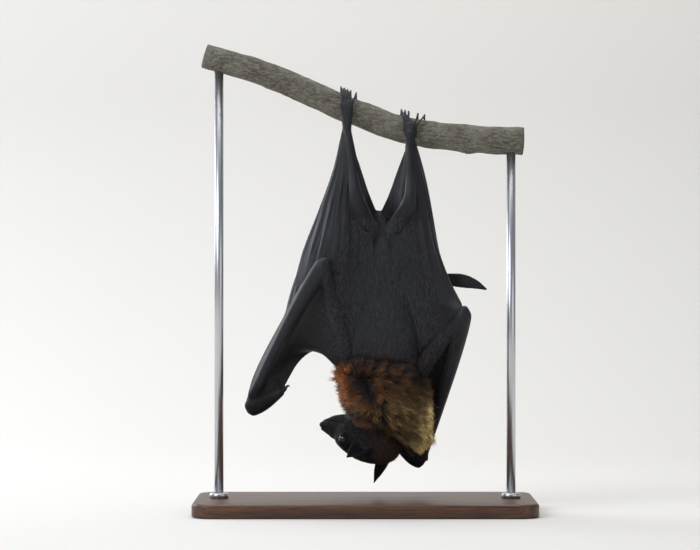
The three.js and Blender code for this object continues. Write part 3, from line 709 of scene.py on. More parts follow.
def arm_and_hand(limb):
    """The closed shapes of an arm with its palm and thumb."""
    hand, thumb, bare = limb["hand"], limb["thumb"], SWELL - COAT["bare"]
    bone = [forearm_point(limb, s) for s in (-0.05, -0.02, 0.04, 0.3, 0.7)] + [limb["wrist"]]
    palm = bar(hand, thumb, 0.42) + V([0, 0, -1])
    across = [bar(hand, thumb, -0.14), hand, palm, thumb, bar(hand, thumb, 1.08)]
    # The membrane thickens towards the palm.
    above = [bar(hand, thumb, s) + V([0, 0, 9]) for s in (0.02, 0.3, 0.65, 0.95)]
    free = [thumb_point(limb, s) for s in (-0.3, 0, 0.35, 0.6)]
    return [loft(arm_stations(limb), grow=SWELL - COAT["arm"]),
            loft(chain(bone, (2.5, 6, 9, 7.4, 5.6, 6.8)), grow=bare),
            loft(chain(across, (4.4, 8.8, 8.4, 4, 1.8), (4.4, 7.6, 6.4, 4, 1.8)), grow=bare),
            loft(chain(above, (8, 12, 11, 7), (5, 5.5, 4.5, 2.5))),
            loft(chain(free, (3, 2.8, 2.2, 2.3)), grow=bare)]


def finger_bones(limb):
    """The closed shapes of the folded fingers: a sleeve of membrane with three bones side by side
    in it, and folded membrane that fills the hollows towards the forearm and the palm."""
    stations, face = fingers_stations(limb)
    made = [loft([(p, w - 2, d * 0.55) for p, w, d in stations], face, SWELL, rows=70)]
    beside = [(forearm_point(limb, 1 - s) + stations[k][0]) / 2
              for s, k in ((0.0, 0), (0.06, 1), (0.3, 2), (0.55, 3), (0.8, 4), (0.9, 4))]
    made.append(loft(chain(beside, (9, 10.5, 10.5, 10.5, 8, 5), (4.2, 4.6, 5.2, 5.2, 3.2, 1.4)), face, rows=50))
    heel = [limb["hand"], bar(limb["hand"], stations[1][0], 0.5), stations[1][0]]
    made.append(loft(chain(heel, (7.6, 7, 6.5), (6.6, 5.8, 4.5)), face))
    t = np.linspace(0, 1, 60)
    middle, _, wide = frame_along([s[0] for s in stations], face, t)
    sizes = curve([s[1:] for s in stations], t)
    for off in (-0.62, 0, 0.62):
        line = middle + wide * (sizes[:, :1] * off)
        depth = sizes[:, 1] * (0.78 if off else 0.95)
        made.append(loft(chain(line[::6], np.minimum(sizes[:, 0] * 0.42, depth)[::6], depth[::6]), face,
                         SWELL - COAT["bare"], rows=70, around=20))
    return made


def wing_tip(name, side):
    """The closed shapes of a wing's loose tip, with a thin finger bone along its upper edge."""
    line, face, half = TIP_LINE[name], TIP_FACE[name], V(TIP_HALF[name])
    middle, _, wide = frame_along(line, face, np.linspace(0, 1, len(line)))
    edge = middle - side * wide * half[:, None] * 0.7
    return [loft(chain(line, half, np.where(half > 1, 1.1, 0.5)), face, SWELL),
            loft(chain(edge, (1.9, 1.8, 1.6, 1.2, 0.5)), face, SWELL, around=16)]


def foot(name, limb):
    """The closed shapes of a foot: a sole on the near side of the branch, and five jointed toes
    over it. A toe's radius is fuller at two joints."""
    ankle = limb["ankle"]
    perch_middle, way, radius = branch_at(ankle[0])
    near = perch_middle + V([0, -radius - 4, 0])
    sole = [bar(ankle, limb["knee"], 0.18), ankle, bar(ankle, near, 0.55), near,
            near + V([0, 1, 5]), near + V([0, 3.4, 9]), near + V([0, 5, 11])]
    made = [loft(chain(sole, (3, 4.6, 5.2, 6.4, 6, 4.8, 3.6), (3, 4.2, 3.6, 3.2, 2.1, 1.1, 0.5)),
                 grow=SWELL - COAT["bare"])]
    turns = np.linspace(-0.12, 0.84, 25)
    joints = 0.25 * np.exp(-((turns - 0.36) / 0.07) ** 2) + 0.2 * np.exp(-((turns - 0.7) / 0.08) ** 2)
    for place in TOES[name]:
        line = toe_line(perch_middle, way, radius, place, turns)
        made.append(loft(chain(line, TOE["radius"] + joints), way, rows=60, around=16))
    return made


def flesh():
    """The closed shapes that the skin is melted from."""
    made = head_and_trunk()
    fine, long = np.linspace(0, 1, 110), np.linspace(0, 1, 180)
    for name, limb in LIMBS.items():
        webs = [side_web(name, fine, long), fore_web(name, fine[::2], long[::2]),
                tail_web(limb, fine[::4], long[::2])]
        made += [loft(leg_stations(limb), grow=SWELL - COAT["leg"]), *arm_and_hand(limb), *finger_bones(limb),
                 *wing_tip(name, limb["side"]), *(slab(web, MEMBRANE / 2 + SWELL) for web in webs),
                 *foot(name, limb), lids(limb["side"]), ear(limb["side"])]
    return made


def pile(shapes):
    """Several closed shapes as one list of points and one of triangles."""
    starts = np.cumsum([0] + [len(p) for p, _ in shapes])[:-1]
    return (np.concatenate([p for p, _ in shapes]),
            np.concatenate([f + start for (_, f), start in zip(shapes, starts)]))


def evaluated(source):
    """A new mesh from an object once its modifiers have run. The object goes."""
    mesh = bpy.data.meshes.new_from_object(source.evaluated_get(bpy.context.evaluated_depsgraph_get()))
    bpy.data.objects.remove(source)
    return mesh


def read(mesh):
    """A mesh's points in millimetres, edges, and point normals."""
    points, normals = np.empty(len(mesh.vertices) * 3), np.empty(len(mesh.vertices) * 3)
    edges = np.empty(len(mesh.edges) * 2, np.int32)
    mesh.vertices.foreach_get("co", points)
    mesh.vertex_normals.foreach_get("vector", normals)
    mesh.edges.foreach_get("vertices", edges)
    return points.reshape(-1, 3) / MM, edges.reshape(-1, 2), normals.reshape(-1, 3)


def write(mesh, points):
    """Moves a mesh's points to new places in millimetres."""
    mesh.vertices.foreach_set("co", (points * MM).ravel())
    mesh.update()


def relaxed(points, edges, times):
    """Moves each point half way to the mean of its neighbours, several times."""
    ends, starts = edges.T.ravel(), edges[:, ::-1].T.ravel()
    count = np.bincount(ends, minlength=len(points))[:, None]
    for _ in range(times):
        total = np.stack([np.bincount(ends, points[starts, k], len(points)) for k in range(3)], 1)
        points = (points + total / count) / 2
    return points


def attribute(mesh, name, values, kind="FLOAT"):
    """Stores one number or vector for each point."""
    made = mesh.attributes.new(name, kind, "POINT")
    flat = np.ascontiguousarray(values, np.float32).ravel()
    made.data.foreach_set("value" if kind == "FLOAT" else "vector", flat)


def face_details(points):
    """How far the skin of the head moves out or in: nostrils with rims, the groove between them,
    the line of the lips, and brows. Each is a bell curve of the distance from its middle."""
    f, r, u = in_head(points)

    def spot(at, wide):
        square = (f - at[0]) ** 2 + (np.abs(r) - at[1]) ** 2 + (u - at[2]) ** 2
        return np.exp(-square / (2 * wide**2))

    pit, rim = spot((55.2, 2.9, -12.2), 1.25), spot((54.8, 2.9, -12.2), 2.3)
    groove = np.exp(-((r / 0.8) ** 2)) * ease(50, 54, f) * ease(-22, -17, u)
    lips = np.exp(-(((u + 19 - 0.06 * (52 - f)) / 0.75) ** 2)) * ease(20, 28, f) * ease(58, 54, f)
    brow = spot((24, 13.5, 9), 3.5) + 0.7 * spot((31, 8, 0), 4)
    return -2.6 * pit + 1.1 * rim - 0.9 * groove - 0.8 * lips + 1.2 * brow


rough = piece("rough_skin", *pile(flesh()), None, body=None)
melt = rough.modifiers.new("melt", "REMESH")
melt.mode = "VOXEL"
melt.voxel_size = VOXEL * MM
mesh = evaluated(rough)
points, edges, _ = read(mesh)
# The feet keep more of their shape than the rest.
ankle_z = np.where(points[:, 0] > MIDLINE, LIMBS["left"]["ankle"][2], LIMBS["right"]["ankle"][2])
on_foot = ease(-6, 4, points[:, 2] - ankle_z)
slight = relaxed(points, edges, 3)
points = slight + (relaxed(slight, edges, 8) - slight) * (1 - on_foot)[:, None]
write(mesh, points)
_, _, normals = read(mesh)
write(mesh, points + normals * (face_details(points) - SWELL * (1 - 0.8 * on_foot))[:, None])

# The surface is thinned where it is plain. The head keeps more of its points.
SKIN_TRIANGLES = 185000
skin = bpy.data.objects.new("rough_skin", mesh)
bpy.context.scene.collection.objects.link(skin)
keep = skin.vertex_groups.new(name="plain")
f, r, u = in_head(read(mesh)[0])
near_head = (np.hypot(r, u + 6) < 32) & (f > -40) & (f < 62)
keep.add(np.flatnonzero(~near_head).tolist(), 1.0, "REPLACE")
keep.add(np.flatnonzero(near_head).tolist(), 0.3, "REPLACE")
thin = skin.modifiers.new("thin", "DECIMATE")
thin.ratio = SKIN_TRIANGLES / (2 * len(mesh.polygons))
thin.vertex_group = keep.name
thin.use_collapse_triangulate = True
mesh = evaluated(skin)
points, _, normals = read(mesh)

# Bare wing skin and the skin under the coat: soft, slightly oily leather, cool black-grey, with a
# faint sheen, pores, and fine creases that fan out from the ankles along the folds.
hide, tree = new_material("wing_leather")
place = add(tree, "TexCoord").outputs["Object"]
fan = add(tree, "Attribute", attribute_name="fan").outputs["Vector"]
under = add(tree, "SeparateXYZ", {0: add(tree, "Attribute", attribute_name="under").outputs["Vector"]})
creases = add(tree, "TexNoise", {"Vector": fan, "Scale": 1.0, "Detail": 4, "Roughness": 0.6})
pores = add(tree, "TexVoronoi", {"Vector": place, "Scale": 900})
clouds = add(tree, "TexNoise", {"Vector": place, "Scale": 35, "Detail": 4})
leather = add(tree, "ValToRGB", {"Fac": clouds}, stops=[(0.3, "#151518"), (0.7, "#212226")])
# Painted shade: the leather is darker in the hollows of the creases, where the relief is low.
crease_shade = add(tree, "ValToRGB", {"Fac": creases}, stops=[(0.35, "#a8a8a8"), (0.65, "#ffffff")])
leather = add(tree, "Mix", {"Factor": 0.8, 6: leather, 7: crease_shade}, data_type="RGBA", blend_type="MULTIPLY")
# Under the fur of the head, the ruff and the coat, the skin has the tint of the hair's roots.
# The first tint also darkens the ears and the hands, and paints shade on the membrane ahead of each arm.
for part, code in (("X", "#0f0f0f"), ("Y", "#160e09"), ("Z", "#18181b")):
    leather = add(tree, "Mix", {"Factor": under.outputs[part], 6: leather.outputs[2], 7: linear(code)},
                  data_type="RGBA")
relief = add(tree, "Bump", {"Height": creases, "Strength": 0.5, "Distance": 0.9 * MM})
relief = add(tree, "Bump", {"Height": pores, "Strength": 0.12, "Distance": 0.3 * MM, "Normal": relief})
bare = add(tree, "Attribute", attribute_name="bare").outputs["Fac"]
gloss, sheen = (add(tree, "Math", {0: bare, 1: most}, operation="MULTIPLY") for most in (0.34, 0.1))
show(tree, add(tree, "BsdfPrincipled", {
    "Base Color": leather.outputs[2], "Roughness": 0.52, "Normal": relief, "Specular IOR Level": gloss,
    "Sheen Weight": sheen, "Sheen Roughness": 0.5, "Sheen Tint": linear("#aab4c8")}))
mesh.materials.clear()
mesh.materials.append(hide)
mesh.shade_smooth()
mesh.name = "skin"
skin = bpy.data.objects.new("skin", mesh)
bpy.context.scene.collection.objects.link(skin)
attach(skin, "root")
FLESH = ["ear", "upper_arm", "forearm", "hand", "thumb", "fingers", "wing_tip", "fore_web", "side_web", "leg",
         "tail_web", "foot"]
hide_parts("trunk", "neck", "head", *(f"{node}_{side}" for node in FLESH for side in LIMBS))


def oval_middle(z, stations):
    """At each height of an upright oval body: its middle's x and y, and its half width and depths."""
    rows = V([(*s[0], *s[1:]) for s in stations], float)
    rows = rows[np.argsort(rows[:, 2])]
    return [np.interp(z, rows[:, 2], rows[:, k]) for k in (0, 1, 3, 4, 5)]


def near_line(points, a, b):
    """The share along a line where each point is, and its distance from the line."""
    share = (points - a) @ (b - a) / ((b - a) @ (b - a))
    return share, np.linalg.norm(points - a - np.clip(share, 0, 1)[:, None] * (b - a), axis=1)


# What lies over the skin: the head's fur, the ruff, and the body's coat, which thins out over the
# wing membranes, the thighs and the upper arms. Each is a share from 0 to 1 at every point.
RUFF_TOP = V([[-34, 149], [-18, 139], [-6, 144], [20, 143], [40, 136], [52, 127], [60, 118]])  # x, height
x, y, z = points.T
f, r, u = in_head(points)
on_face = ease(1.15, 0.95, np.sqrt(((f - 10) / 52) ** 2 + (r / 24) ** 2 + ((u + 3) / 27) ** 2))
on_ear = np.zeros(len(points))
for side in (-1, 1):
    share, off = near_line(points, EAR_ROOT[side], EAR_TIP[side])
    on_ear = np.maximum(on_ear, ease(0.05, 0.12, share) * (off < 11))
on_face = on_face * (1 - on_ear)
middle_x, middle_y, wide, back, belly = oval_middle(z, NECK)
reach = np.hypot((x - middle_x) / (wide - COAT["ruff"] + 2),
                 (y - middle_y) / (np.where(y < middle_y, back, belly) - COAT["ruff"] + 2))
below_top = np.interp(x, *RUFF_TOP.T) - z
in_ruff = ease(1.13, 1.04, reach) * ease(59, 66, z) * ease(-3, 3, below_top) * (1 - on_face)
split = middle_x  # the ruff's pieces meet here
middle_x, _, wide, _, _ = oval_middle(z, TRUNK)
beyond = np.abs(x - middle_x) - wide
on_trunk = ease(24, -2, beyond) * ease(298, 284, z) * ease(116, 130, z) * (1 - in_ruff)
on_arms, on_legs, ahead = np.zeros((3, len(points)))
for limb in LIMBS.values():
    share, off = near_line(points, limb["hip"], limb["knee"])
    on_legs = np.maximum(on_legs, ease(1.1, 0.4, share) * ease(20, 13, off))
    share, off = near_line(points, limb["shoulder"], limb["elbow"])
    on_arms = np.maximum(on_arms, ease(0.95, 0.4, share) * ease(20, 12, off))
    # Painted shade: the membrane ahead of the arm is darkened with the same tint as the hands, as if in shade.
    share, off = near_line(points, limb["elbow"], limb["wrist"])
    inward = (bar(limb["elbow"], limb["wrist"], np.clip(share, 0, 1)[:, None]) - points)[:, 0] * limb["side"]
    ahead = np.maximum(ahead, ease(5, 10, inward) * (share > 0) * (off < 75) * (z > 90) * (beyond > 0))
on_limbs = np.maximum(on_arms, on_legs) * (1 - in_ruff) * (1 - on_face) * ease(100, 120, z)
in_coat = np.maximum(on_trunk, 0.8 * on_limbs)
on_hand = sum(ease(26, 12, np.linalg.norm(points - bar(limb["hand"], limb["thumb"], 0.3), axis=1))
              for limb in LIMBS.values())
# The first mask holds the face, the ears, the hands, and painted shade on the membrane ahead of each arm.
black_skin_and_painted_shade = np.maximum(np.maximum(on_face, 0.7 * on_ear), 0.75 * np.maximum(on_hand, 0.6 * ahead))
masks = np.stack([black_skin_and_painted_shade, in_ruff, in_coat], 1)
attribute(skin.data, "under", masks, "FLOAT_VECTOR")
attribute(skin.data, "bare", 1 - 0.75 * masks.max(axis=1))
# Creases run along lines from above the nearer ankle: the first part of "fan" is the angle there.
FAN = (170, 0.25, 0.03)  # creases to a radian, and how fast they change with depth and length
ankle = np.where((x > MIDLINE)[:, None], LIMBS["left"]["ankle"], LIMBS["right"]["ankle"]) + V([0, 0, 40])
turned_by = np.arctan2(x - ankle[:, 0], ankle[:, 2] - z)
away = np.linalg.norm(points - ankle, axis=1)
attribute(skin.data, "fan", np.stack([turned_by * FAN[0], y * FAN[1], away * FAN[2]], 1), "FLOAT_VECTOR")

# ---------------------------------------------------------------------------------------------
# The eyes: wet balls with a dark brown iris and a wide black pupil. Each is set in the skin under
# its lids, and looks out to its own side of the head.
# ---------------------------------------------------------------------------------------------

# Cornea over a brown iris: glassy and wet, nearly black but for its highlights.
wet, tree = new_material("wet_eye")
off_axis = add(tree, "Attribute", attribute_name="off_axis").outputs["Fac"]
place = add(tree, "TexCoord").outputs["Object"]
fibres = add(tree, "TexNoise", {"Vector": place, "Scale": 1500, "Detail": 3})
fibres = add(tree, "Math", {0: fibres, 1: 0.06}, operation="MULTIPLY")
ring = add(tree, "Math", {0: off_axis, 1: fibres}, operation="ADD")
iris = add(tree, "ValToRGB", {"Fac": ring}, stops=[
    (0.24, "#020202"), (0.3, "#120904"), (0.45, "#1d0f08"), (0.56, "#0d0704"), (0.64, "#050303")])
show(tree, add(tree, "BsdfPrincipled", {"Base Color": iris, "Roughness": 0.16, "Coat Weight": 0.2,
                                        "Coat Roughness": 0.03, "IOR": 1.4}))

CORNEA = {"bulge": 0.35, "wide": 0.6}  # how far it stands out of the ball, and its spread in radians
for name, limb in LIMBS.items():
    polar, a = cells(np.linspace(0.01, np.pi - 0.01, 48), circle(64))
    radius = EYE["radius"] - 0.05 + CORNEA["bulge"] * np.exp(-((polar / CORNEA["wide"]) ** 2))
    shape, faces = tube(on_ball(limb["side"], polar, a, radius))
    ball = piece(f"eyeball_{name}", shape, faces if limb["side"] < 0 else faces[:, ::-1], wet)
    attribute(ball.data, "off_axis", np.append(polar.ravel(), [0, np.pi]) / np.pi * 2)
    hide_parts(f"eye_{name}")

# ---------------------------------------------------------------------------------------------
# The claws: hooked and flattened horn on every toe, sunk in the skin behind the branch, and one
# at the end of each thumb.
# ---------------------------------------------------------------------------------------------

# Keratin: black-brown at the root, translucent grey-brown at the tip, with fine lines along it.
horn, tree = new_material("claw_horn")
share = add(tree, "Attribute", attribute_name="along").outputs["Fac"]
lines = add(tree, "TexNoise", {"Vector": add(tree, "TexCoord").outputs["Object"], "Scale": 900, "Detail": 3})
tint = add(tree, "ValToRGB", {"Fac": share}, stops=[(0.1, "#17130f"), (0.6, "#2a231c"), (1, "#6b6052")])
lines = add(tree, "Bump", {"Height": lines, "Strength": 0.2, "Distance": 0.1 * MM})
show(tree, add(tree, "BsdfPrincipled", {
    "Base Color": tint, "Roughness": 0.28, "Normal": lines, "Subsurface Weight": 0.1,
    "Subsurface Radius": (0.0008, 0.0005, 0.0003)}))

CLAW = {"toe": 1.35, "thumb": 2.0, "rows": 20, "around": 12}  # half depths at the root, and points


def claw(line, back, root):
    """A hook whose oval section shrinks along the line to a point: radius falls as the square root
    of what is left."""
    t = np.linspace(0, 1, len(line))
    thick = root * np.sqrt(1.02 - t)
    return loft(chain(line, thick * 0.7, thick), back, rows=CLAW["rows"], around=CLAW["around"])


for name, limb in LIMBS.items():
    perch_middle, way, radius = branch_at(limb["ankle"][0])
    hooks = [claw(toe_line(perch_middle, way, radius, place, np.linspace(0.78, 1.12, 9)), way, CLAW["toe"])
             for place in TOES[name]]
    line = [thumb_point(limb, s, d) for s, d in ((0.5, 0.2), (0.7, 0.6), (0.85, 0), (1, -2.4))]
    hooks.append(claw(curve(line, np.linspace(0, 1, 9)), BACK, CLAW["thumb"]))
    claws = piece(f"claws_{name}", *pile(hooks), horn)
    share = np.append(np.repeat(np.linspace(0, 1, CLAW["rows"]), CLAW["around"]), [0, 1])
    attribute(claws.data, "along", np.tile(share, len(hooks)))

# ---------------------------------------------------------------------------------------------
# The body's coat: thousands of tapering tufts, each a closed three-sided blade that lies along
# the body. They are scattered over the skin by area, in four pieces: back and belly, right and left.
# ---------------------------------------------------------------------------------------------

rng = np.random.default_rng(7)
PATCH = 0.003  # size of a tuft's patch on the map for baking
UNWRAP = {"left": -130, "wide": 520, "high": 420, "belly": 0.5}  # where the skin lies on that map
UP = V([0.0, 0, 1])

points, _, normals = read(skin.data)
skin.data.calc_loop_triangles()
triangles = np.empty(len(skin.data.loop_triangles) * 3, np.int32)
skin.data.loop_triangles.foreach_get("vertices", triangles)
triangles = triangles.reshape(-1, 3)
corners = points[triangles]
areas = np.linalg.norm(np.cross(corners[:, 1] - corners[:, 0], corners[:, 2] - corners[:, 0]), axis=1)


def scatter(weight, count, *values):
    """Random roots on the skin, by area times weight: places, normals, where they are on an unwrap
    of the skin that shows its back and its belly side by side, and more values there."""
    chance = areas * weight[triangles].mean(axis=1)
    chosen = triangles[rng.choice(len(triangles), count, p=chance / chance.sum())]
    a, b = rng.random((2, count))
    a, b = np.where(a + b > 1, (1 - a, 1 - b), (a, b))
    shares = np.stack([1 - a - b, a, b], 1)
    there = [np.einsum("nk,nk...->n...", shares, v[chosen]) for v in (points, normals, *values)]
    roots, ways = there[0], unit(there[1])
    place = ((roots[:, 0] - UNWRAP["left"]) / UNWRAP["wide"] + UNWRAP["belly"] * (ways[:, 1] > 0),
             roots[:, 2] / UNWRAP["high"])
    return roots, ways, place, *there[2:]


TUFT = V([[-1, -0.15], [1, -0.15], [0, 0.55]])  # a tuft's section: flat side down


def blades(name, roots, normals, flow, length, width, lift, place, mark, finish, rings=2, bend=0.12,
           pull=None, sink=0.3, wave=0.0):
    """Joined tufts. Each starts just under the skin, rises by lift, bends over and sideways and
    ends in a point; pull is where its tip is drawn, so that tufts gather in locks. place is the
    root's spot on the unwrap of the body. mark holds three numbers that the finish reads."""
    n = len(roots)
    flow = unit(flow - normals * np.sum(flow * normals, axis=1)[:, None])
    side = np.cross(normals, flow)
    length, width, lift = (np.broadcast_to(v, n)[:, None, None] for v in (length, width, lift))
    share = np.linspace(0, 1, rings + 1)
    s = share[None, :, None]
    swing = rng.normal(0, bend, n)[:, None, None] * length
    phase = 6.3 * rng.random(n)[:, None, None]
    swing = swing + wave * length * np.sin(3 * np.pi * s + phase) / np.maximum(s, 0.2)
    spine = (roots[:, None] - normals[:, None] * sink + flow[:, None] * length * s
             + normals[:, None] * length * lift * s * (1.45 - 0.75 * s) + side[:, None] * swing * s**2)
    if pull is not None:
        spine = spine + pull[:, None] * s**1.5
    body = s[:, :-1]
    half = width / 2 * (0.75 + 0.6 * body) * (1 - body) ** 0.6
    wall = (spine[:, :-1, None] + (half * TUFT[:, 0])[..., None] * side[:, None, None]
            + (half * TUFT[:, 1])[..., None] * normals[:, None, None])
    points = np.concatenate([wall.reshape(n, -1, 3), spine[:, -1:]], axis=1)
    # One tuft's triangles: its walls, the three that meet in its tip, and one over its root.
    last, size = 3 * (rings - 1), 3 * rings + 1
    tip = V([[last + k, last + (k + 1) % 3, size - 1] for k in range(3)])
    template = np.concatenate([grid(rings, 3, wrap=True), tip, [[2, 1, 0]]])
    made = piece(name, points, (template + np.arange(n)[:, None, None] * size).reshape(-1, 3), finish)
    along = np.append(np.repeat(share[:-1], 3), 1.0)
    attribute(made.data, "along", np.tile(along, n))
    attribute(made.data, "mark", np.repeat(np.stack(mark, 1), size, axis=0), "FLOAT_VECTOR")
    local = np.stack([np.append(np.tile([0, 1, 0.5], rings), 0.5) - 0.5, along - 0.5], 1)
    spot = 0.02 + 0.96 * np.stack(place, 1)
    unwrap = (spot[:, None] + PATCH * local)[:, template.ravel()]
    made.data.uv_layers.new(name="OFBake").data.foreach_set("uv", unwrap.astype(np.float32).ravel())


def fur_material(name, root, tip, rust, straw, rough=0.55, bend=0.7, dark=0.1):
    """Hair: dark at the root and paler at the tip, each tuft a little lighter or darker than the
    next. The mark's parts are rust, straw and tone."""
    made, tree = new_material(name)
    share = add(tree, "Attribute", attribute_name="along").outputs["Fac"]
    mark = add(tree, "SeparateXYZ", {0: add(tree, "Attribute", attribute_name="mark").outputs["Vector"]})
    colour = add(tree, "ValToRGB", {"Fac": share}, stops=[(dark, root), (bend, tip)]).outputs[0]
    for code, part in ((rust, "X"), (straw, "Y")):
        other = add(tree, "ValToRGB", {"Fac": share}, stops=[(dark, root), (bend, code)])
        mixed = add(tree, "Mix", {"Factor": mark.outputs[part], 6: colour, 7: other}, data_type="RGBA")
        colour = mixed.outputs[2]
    tone = add(tree, "HueSaturation", {"Value": mark.outputs["Z"], "Color": colour})
    show(tree, add(tree, "BsdfPrincipled", {"Base Color": tone, "Roughness": rough, "Specular IOR Level": 0.4}))
    return made


def tones(n, spread=0.3):
    """A random lightness for each tuft, about 1."""
    return np.clip(rng.normal(1, spread, n), 0.35, 2.2)


# Body hair: short, dense and straight, charcoal with cool grey tips, lying from the head to the
# rump all over the trunk. It gets shorter and thinner on the limbs and the wing membranes.
charcoal = fur_material("charcoal_fur", "#0f0f10", "#3b3c41", rust="#33261e", straw="#505156", rough=0.6)

COAT_SPLIT = 18  # x where the right and left pieces of the coat meet
hair_long = 3.2 + 7.5 * on_trunk**1.5 * (1 - 0.7 * on_arms) + 2.5 * on_limbs * (1 - on_trunk)
hair_long = hair_long * (1 - 0.5 * ease(255, 290, z))
on_back, on_right = normals[:, 1] < 0, x < COAT_SPLIT
for part, shown, n in (("back_right", on_back & on_right, 18000), ("back_left", on_back & ~on_right, 18000),
                       ("belly_right", ~on_back & on_right, 13000), ("belly_left", ~on_back & ~on_right, 13000)):
    roots, ways, place, long = scatter(in_coat * shown, n, hair_long)
    off, height = roots[:, 0] - COAT_SPLIT, roots[:, 2]
    away = np.sign(off) * ease(30, 60, np.abs(off))
    flow = UP + 0.13 * rng.normal(size=(n, 3)) + (0.25 * away)[:, None] * V([1.0, 0, 0])
    brown = ease(170, 145, height) * 0.7 + 0.45 * (ways[:, 1] > 0) * ease(250, 200, height)
    streak = (rng.random(n) < 0.1) * rng.uniform(0.2, 0.9, n)
    blades(f"body_coat_{part}", roots, ways, flow, long * rng.uniform(0.75, 1.25, n), rng.uniform(0.5, 0.85, n),
           rng.uniform(0.06, 0.18, n), place, (brown, streak, tones(n, 0.2)), charcoal)

# ---------------------------------------------------------------------------------------------
# The ruff: long soft hair in locks over short dark underfur, whose darkness is partly painted shade
# between the locks. It parts behind the neck and sweeps to both sides, and it is in four pieces like the coat.
# ---------------------------------------------------------------------------------------------

# Ruff hair: soft, fine and glossy, brown-black at the root. It is rusty brown on the animal's right, dark
# at the parting (painted shade), olive brown beyond it, and straw at the left edge; pale tips near the parting
# are painted highlights.
ruff_fur = fur_material("ruff_fur", "#110b07", "#7c6038", rust="#c26c24", straw="#f0d690", bend=0.95, dark=0.4)

# The parting's line: height and x.
PARTING = V([[60, 24], [87, 15], [105, 14], [118, 8], [129, 1], [142, -12], [160, -20]], float)
LOCK = {"spread": 2.2, "length": (13, 21), "gather": 0.92}
# The underfur's low tone is partly painted shade in the gaps between the locks.
UNDERFUR = {"length": 0.5, "tone": 0.35}  # against the locks


def past_parting(points):
    """How far points lie to the left of the parting."""
    return points[:, 0] - np.interp(points[:, 2], *PARTING.T)


def ruff_flow(p, n):
    """The way the ruff lies: away from the parting behind, round the sides to the belly, up the
    chest in front, and up into the body coat at the shoulders."""
    off, height = past_parting(p), p[:, 2]
    drop_left = -0.2 - 0.7 * ease(108, 88, height)
    drop_right = -0.45 - 0.6 * ease(115, 80, height)
    drop = drop_left + (drop_right - drop_left) * ease(-6, 6, off)
    back = np.stack([np.tanh(off / 5), 0.7 * np.abs(n[:, 0]), drop + 1.3 * ease(124, 146, height)], 1)
    front = np.stack([0.3 * n[:, 0], 0 * off, np.ones_like(off)], 1)
    belly = ease(0.25, 0.75, n[:, 1])[:, None]
    return back * (1 - belly) + front * belly


def ruff_rust(x, height, off, behind):
    """How rusty the ruff is: most at the right side, and some at the far left and at the bottom."""
    rust = ease(14, -10, off) * (0.45 + 0.55 * ease(90, 118, height)) * behind + 0.55 * (1 - behind)
    rust = np.maximum(rust, 0.75 * ease(44, 58, off) * ease(100, 114, height) * behind)
    rust = np.maximum(rust, 0.35 * ease(120, 136, height) * ease(46, 20, off) * behind)
    return np.maximum(rust, 0.8 * ease(112, 96, height) * ease(34, 10, x) * behind)


def ruff_length(x, height, edge, behind):
    """A share of a lock's full length: less at the bottom, at the shoulders, at the far right and
    along the lower left edge."""
    low_right = 1 - 0.3 * ease(112, 96, height) * ease(30, 8, x)
    top = 1 - 0.5 * ease(138, 148, height)
    far_right = 1 - 0.5 * ease(-18, -25, x) * ease(118, 132, height)
    return low_right * top * far_right * (1 + edge * behind * (0.25 - 0.4 * ease(80, 98, height)))


def ruff_tone(x, height, off, edge, behind):
    """How light the ruff is: darker at the parting, where the darkening is painted shade, and darker under the
    nape, in the middle of its lower half and in front, and lighter at the left edge."""
    # Painted shade: the locks darken along the parting.
    tone = 1 - 0.3 * np.exp(-(off / 7) ** 2) * behind
    tone = tone * (1 - 0.6 * ease(114, 136, height) * ease(-12, 4, off))
    tone = tone * (1 - 0.7 * ease(122, 98, height) * ease(40, 12, x))
    tone = tone * (0.5 + 0.5 * np.maximum(behind, ease(146, 124, height)))
    return tone * (1.05 + 0.4 * edge * ease(126, 106, height) * behind)


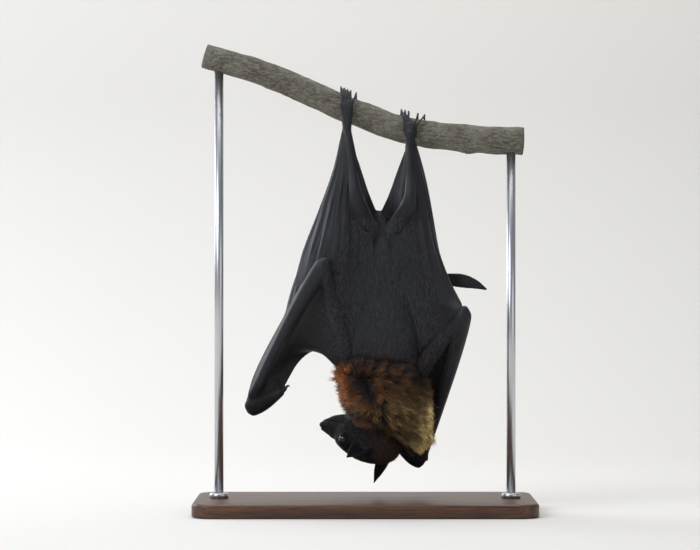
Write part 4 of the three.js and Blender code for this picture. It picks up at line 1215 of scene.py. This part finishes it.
# Each piece has a number of locks, of several tufts each, and of lone tufts of underfur.
right_of_split = x < split
for part, (shown, locks, each, lone_tufts) in enumerate((
        (on_back & right_of_split, 380, 22, 3500), (on_back & ~right_of_split, 430, 20, 3300),
        (~on_back & right_of_split, 330, 16, 2200), (~on_back & ~right_of_split, 330, 16, 2200)), start=1):
    seeds, seed_ways, place = scatter(in_ruff * shown, locks + lone_tufts)
    pick = np.append(np.repeat(np.arange(locks), each), np.arange(locks, locks + lone_tufts))
    n, lone, ways = len(pick), pick >= locks, seed_ways[pick]
    jitter = rng.normal(0, LOCK["spread"], (n, 3)) * ~lone[:, None]
    jitter -= ways * np.sum(jitter * ways, axis=1)[:, None]
    roots = seeds[pick] + jitter
    flow = ruff_flow(seeds, seed_ways)[pick] + 0.1 * rng.normal(size=(n, 3))
    at, height, off = roots[:, 0], roots[:, 2], past_parting(roots)
    behind = ease(0.3, -0.2, ways[:, 1])
    edge = ease(-9, 13, at - 47 + 0.38 * (112 - height))
    rust = ruff_rust(at, height, off, behind)
    # Painted highlight: some locks near the parting get pale straw tips that stand for glints of light. The
    # straw mark carries them together with the real straw of the left edge.
    painted_glint = rng.random(len(seeds))[pick] * np.exp(-(off / 17) ** 2)
    painted_glint = 0.6 * painted_glint * ease(86, 92, height) * ease(122, 112, height)
    straw = np.maximum(0.15 * ease(122, 104, height), 0.9 * edge * ease(126, 108, height)) * behind
    straw = np.maximum(straw + 0.08 * (1 - behind), painted_glint * behind)
    long = rng.uniform(*LOCK["length"], len(seeds))[pick] * rng.uniform(0.7, 1.05, n)
    long = long * ruff_length(at, height, edge, behind)
    tone = np.clip(np.exp(rng.normal(-0.16, 0.66, len(seeds))), 0.25, 2.6)[pick] * tones(n, 0.1)
    tone = tone * ruff_tone(at, height, off, edge, behind)
    # The ruff thins out at its lower edge and at the shoulders. The underfur is short and dark; its darkness is
    # partly painted shade in the gaps between the locks.
    ends = 0.5 + 0.5 * (ease(57, 92, height) * (1 - 0.4 * ease(130, 148, height)))
    short = np.where(lone, UNDERFUR["length"], 1)
    blades(f"ruff_{part}", roots, ways, flow, short * long * ends, rng.uniform(0.55, 0.9, n),
           rng.uniform(0.5, 0.75, n) * ends * short, [v[pick] for v in place],
           (rust, straw, tone * np.where(lone, UNDERFUR["tone"], 1)), ruff_fur, rings=3, bend=0.06,
           pull=-LOCK["gather"] * jitter, wave=0.03)

# ---------------------------------------------------------------------------------------------
# The head's coat: very short dense hair that lies from the muzzle back to the nape. It leaves the
# nose, the ears and a ring round each eye bare.
# ---------------------------------------------------------------------------------------------

# Head hair: short, stiff and dense, nearly black, and browner towards the nape.
black_fur = fur_material("head_fur", "#0a0909", "#232221", rust="#3d2618", straw="#4a4845")

haired = on_face * ease(54, 51, in_head(points)[0])
for side in (-1, 1):
    centre, look, _, _ = eye_axes(side)
    haired = haired * ease(5.5, 7, np.linalg.norm(points - centre - look * 5, axis=1))
n = 17000
roots, ways, place, f = scatter(haired, n, in_head(points)[0])
flow = -HEAD["nose"] + 0.15 * rng.normal(size=(n, 3))
long = 2.0 + 4.5 * ease(46, -10, f)
blades("head_coat", roots, ways, flow, long * rng.uniform(0.7, 1.2, n), rng.uniform(0.35, 0.6, n),
       rng.uniform(0.12, 0.3, n), place, (ease(12, -20, f), (rng.random(n) < 0.06) * 0.8, tones(n)),
       black_fur)

low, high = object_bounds()
